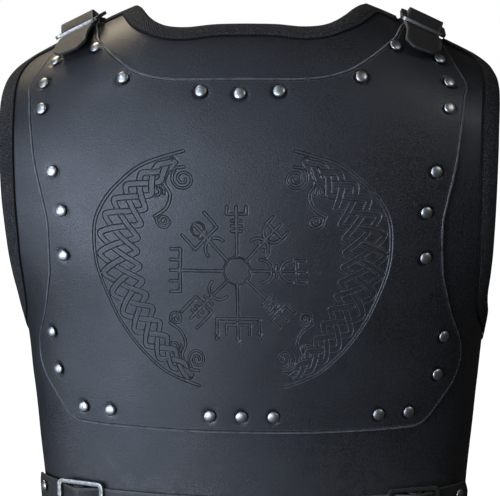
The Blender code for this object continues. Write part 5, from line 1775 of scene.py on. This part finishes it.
class BREASTPLATE_OT_stage(bpy.types.Operator):
    """Set the pale floor, the soft light and the camera."""
    bl_idname = "breastplate.stage"
    bl_label = "Stage"

    def floor(self, drop):
        """A wide pale floor below the plate."""
        all_off()
        bpy.ops.mesh.primitive_plane_add(size=FLOOR_SIZE, location=(0.0, 0.0, -drop))
        floor = bpy.context.object
        floor.name = "studio_floor"
        material, tree, shader, place = new_material("pale_floor")
        colour = mixed(tree, noise(tree, place, 0.6), (0.88, 0.88, 0.88), (0.91, 0.91, 0.91))
        tree.links.new(colour, shader.inputs["Base Color"])
        for name, value in (("Roughness", 0.9), ("Emission Color", (1.0, 1.0, 1.0, 1.0)),
                            ("Emission Strength", 1.05)):
            shader.inputs[name].default_value = value
        floor.data.materials.append(material)
        floor.visible_diffuse = False
        floor.visible_glossy = False

    def soft_light(self, name, place, size, power, colour):
        """A soft light aimed at the chest."""
        all_off()
        bpy.ops.object.light_add(type="AREA", location=place)
        light = bpy.context.object
        light.name = name
        light.data.shape = "RECTANGLE"
        light.data.size, light.data.size_y = size
        light.data.energy = power
        light.data.color = colour
        aim = Vector(LIGHT_AIM) - Vector(place)
        light.rotation_euler = aim.to_track_quat("-Z", "Y").to_euler()

    def world(self):
        """White to the camera and dim to the leather."""
        world = bpy.data.worlds.new("studio_white")
        bpy.context.scene.world = world
        world.use_nodes = True
        tree = world.node_tree
        tree.nodes.clear()
        seen = node(tree, "ShaderNodeBackground", {"Color": (1.0, 1.0, 1.0, 1.0), "Strength": 1.0})
        felt = node(tree, "ShaderNodeBackground", {"Color": (1.0, 0.98, 0.97, 1.0),
                                                   "Strength": 0.018})
        path = node(tree, "ShaderNodeLightPath")
        blend = node(tree, "ShaderNodeMixShader", {0: path.outputs["Is Camera Ray"],
                                                   1: felt.outputs[0], 2: seen.outputs[0]})
        end = tree.nodes.new("ShaderNodeOutputWorld")
        tree.links.new(blend.outputs[0], end.inputs["Surface"])

    def camera(self, sizes):
        """The camera at the photograph's angle."""
        all_off()
        bpy.ops.object.camera_add(location=tuple(sizes.camera_place))
        camera = bpy.context.object
        camera.name = "front_camera"
        pitch, roll, yaw = sizes.camera_turn
        ahead = Vector((math.sin(yaw) * math.cos(pitch), math.cos(yaw) * math.cos(pitch),
                        math.sin(pitch)))
        right = ahead.cross(Vector((0.0, 0.0, 1.0))).normalized()
        up = right.cross(ahead)
        right, up = (right * math.cos(roll) + up * math.sin(roll),
                     up * math.cos(roll) - right * math.sin(roll))
        turn = Matrix((right, up, -ahead)).transposed()
        camera.rotation_euler = turn.to_euler()
        camera.data.sensor_width = SENSOR_WIDTH
        camera.data.lens = LENS
        bpy.context.scene.camera = camera

    def execute(self, context):
        """Build the stage."""
        sizes = context.scene.plate_stage
        self.floor(sizes.floor_drop)
        for name, place, size, share, colour in LIGHTS:
            self.soft_light(name, place, size, share * sizes.key_power, colour)
        self.world()
        self.camera(sizes)
        context.scene.view_settings.view_transform = "Standard"
        return {"FINISHED"}


class BREASTPLATE_PT_panel(bpy.types.Panel):
    """The plate's operators and settings."""
    bl_label = "Leather Breastplate"
    bl_idname = "BREASTPLATE_PT_panel"
    bl_space_type = "VIEW_3D"
    bl_region_type = "UI"
    bl_category = "Breastplate"

    def draw(self, context):
        """List the operators, then the settings."""
        for operator in OPERATORS:
            self.layout.operator(operator.bl_idname)
        for name, kind in SETTINGS:
            box = self.layout.box()
            for key in kind.__annotations__:
                box.prop(getattr(context.scene, name), key)


SETTINGS = (("plate_leather", LeatherSettings), ("plate_tape", TapeSettings),
            ("plate_metal", MetalSettings), ("plate_straps", StrapSettings),
            ("plate_stage", StageSettings))
OPERATORS = (BREASTPLATE_OT_stage, BREASTPLATE_OT_body, BREASTPLATE_OT_chest,
             BREASTPLATE_OT_tapes, BREASTPLATE_OT_rivets, BREASTPLATE_OT_shoulders,
             BREASTPLATE_OT_waist)


def register():
    """Add the settings, operators and panel."""
    for name, kind in SETTINGS:
        bpy.utils.register_class(kind)
        setattr(bpy.types.Scene, name, bpy.props.PointerProperty(type=kind))
    for kind in (*OPERATORS, BREASTPLATE_PT_panel):
        bpy.utils.register_class(kind)


def unregister():
    """Take the settings, operators and panel away."""
    for kind in reversed((*OPERATORS, BREASTPLATE_PT_panel)):
        bpy.utils.unregister_class(kind)
    for name, kind in reversed(SETTINGS):
        delattr(bpy.types.Scene, name)
        bpy.utils.unregister_class(kind)


def main():
    """Build the whole plate and its stage."""
    register()
    for kind in OPERATORS:
        group, name = kind.bl_idname.split(".")
        getattr(getattr(bpy.ops, group), name)()
    bpy.context.view_layer.update()


if __name__ == "__main__":
    main()
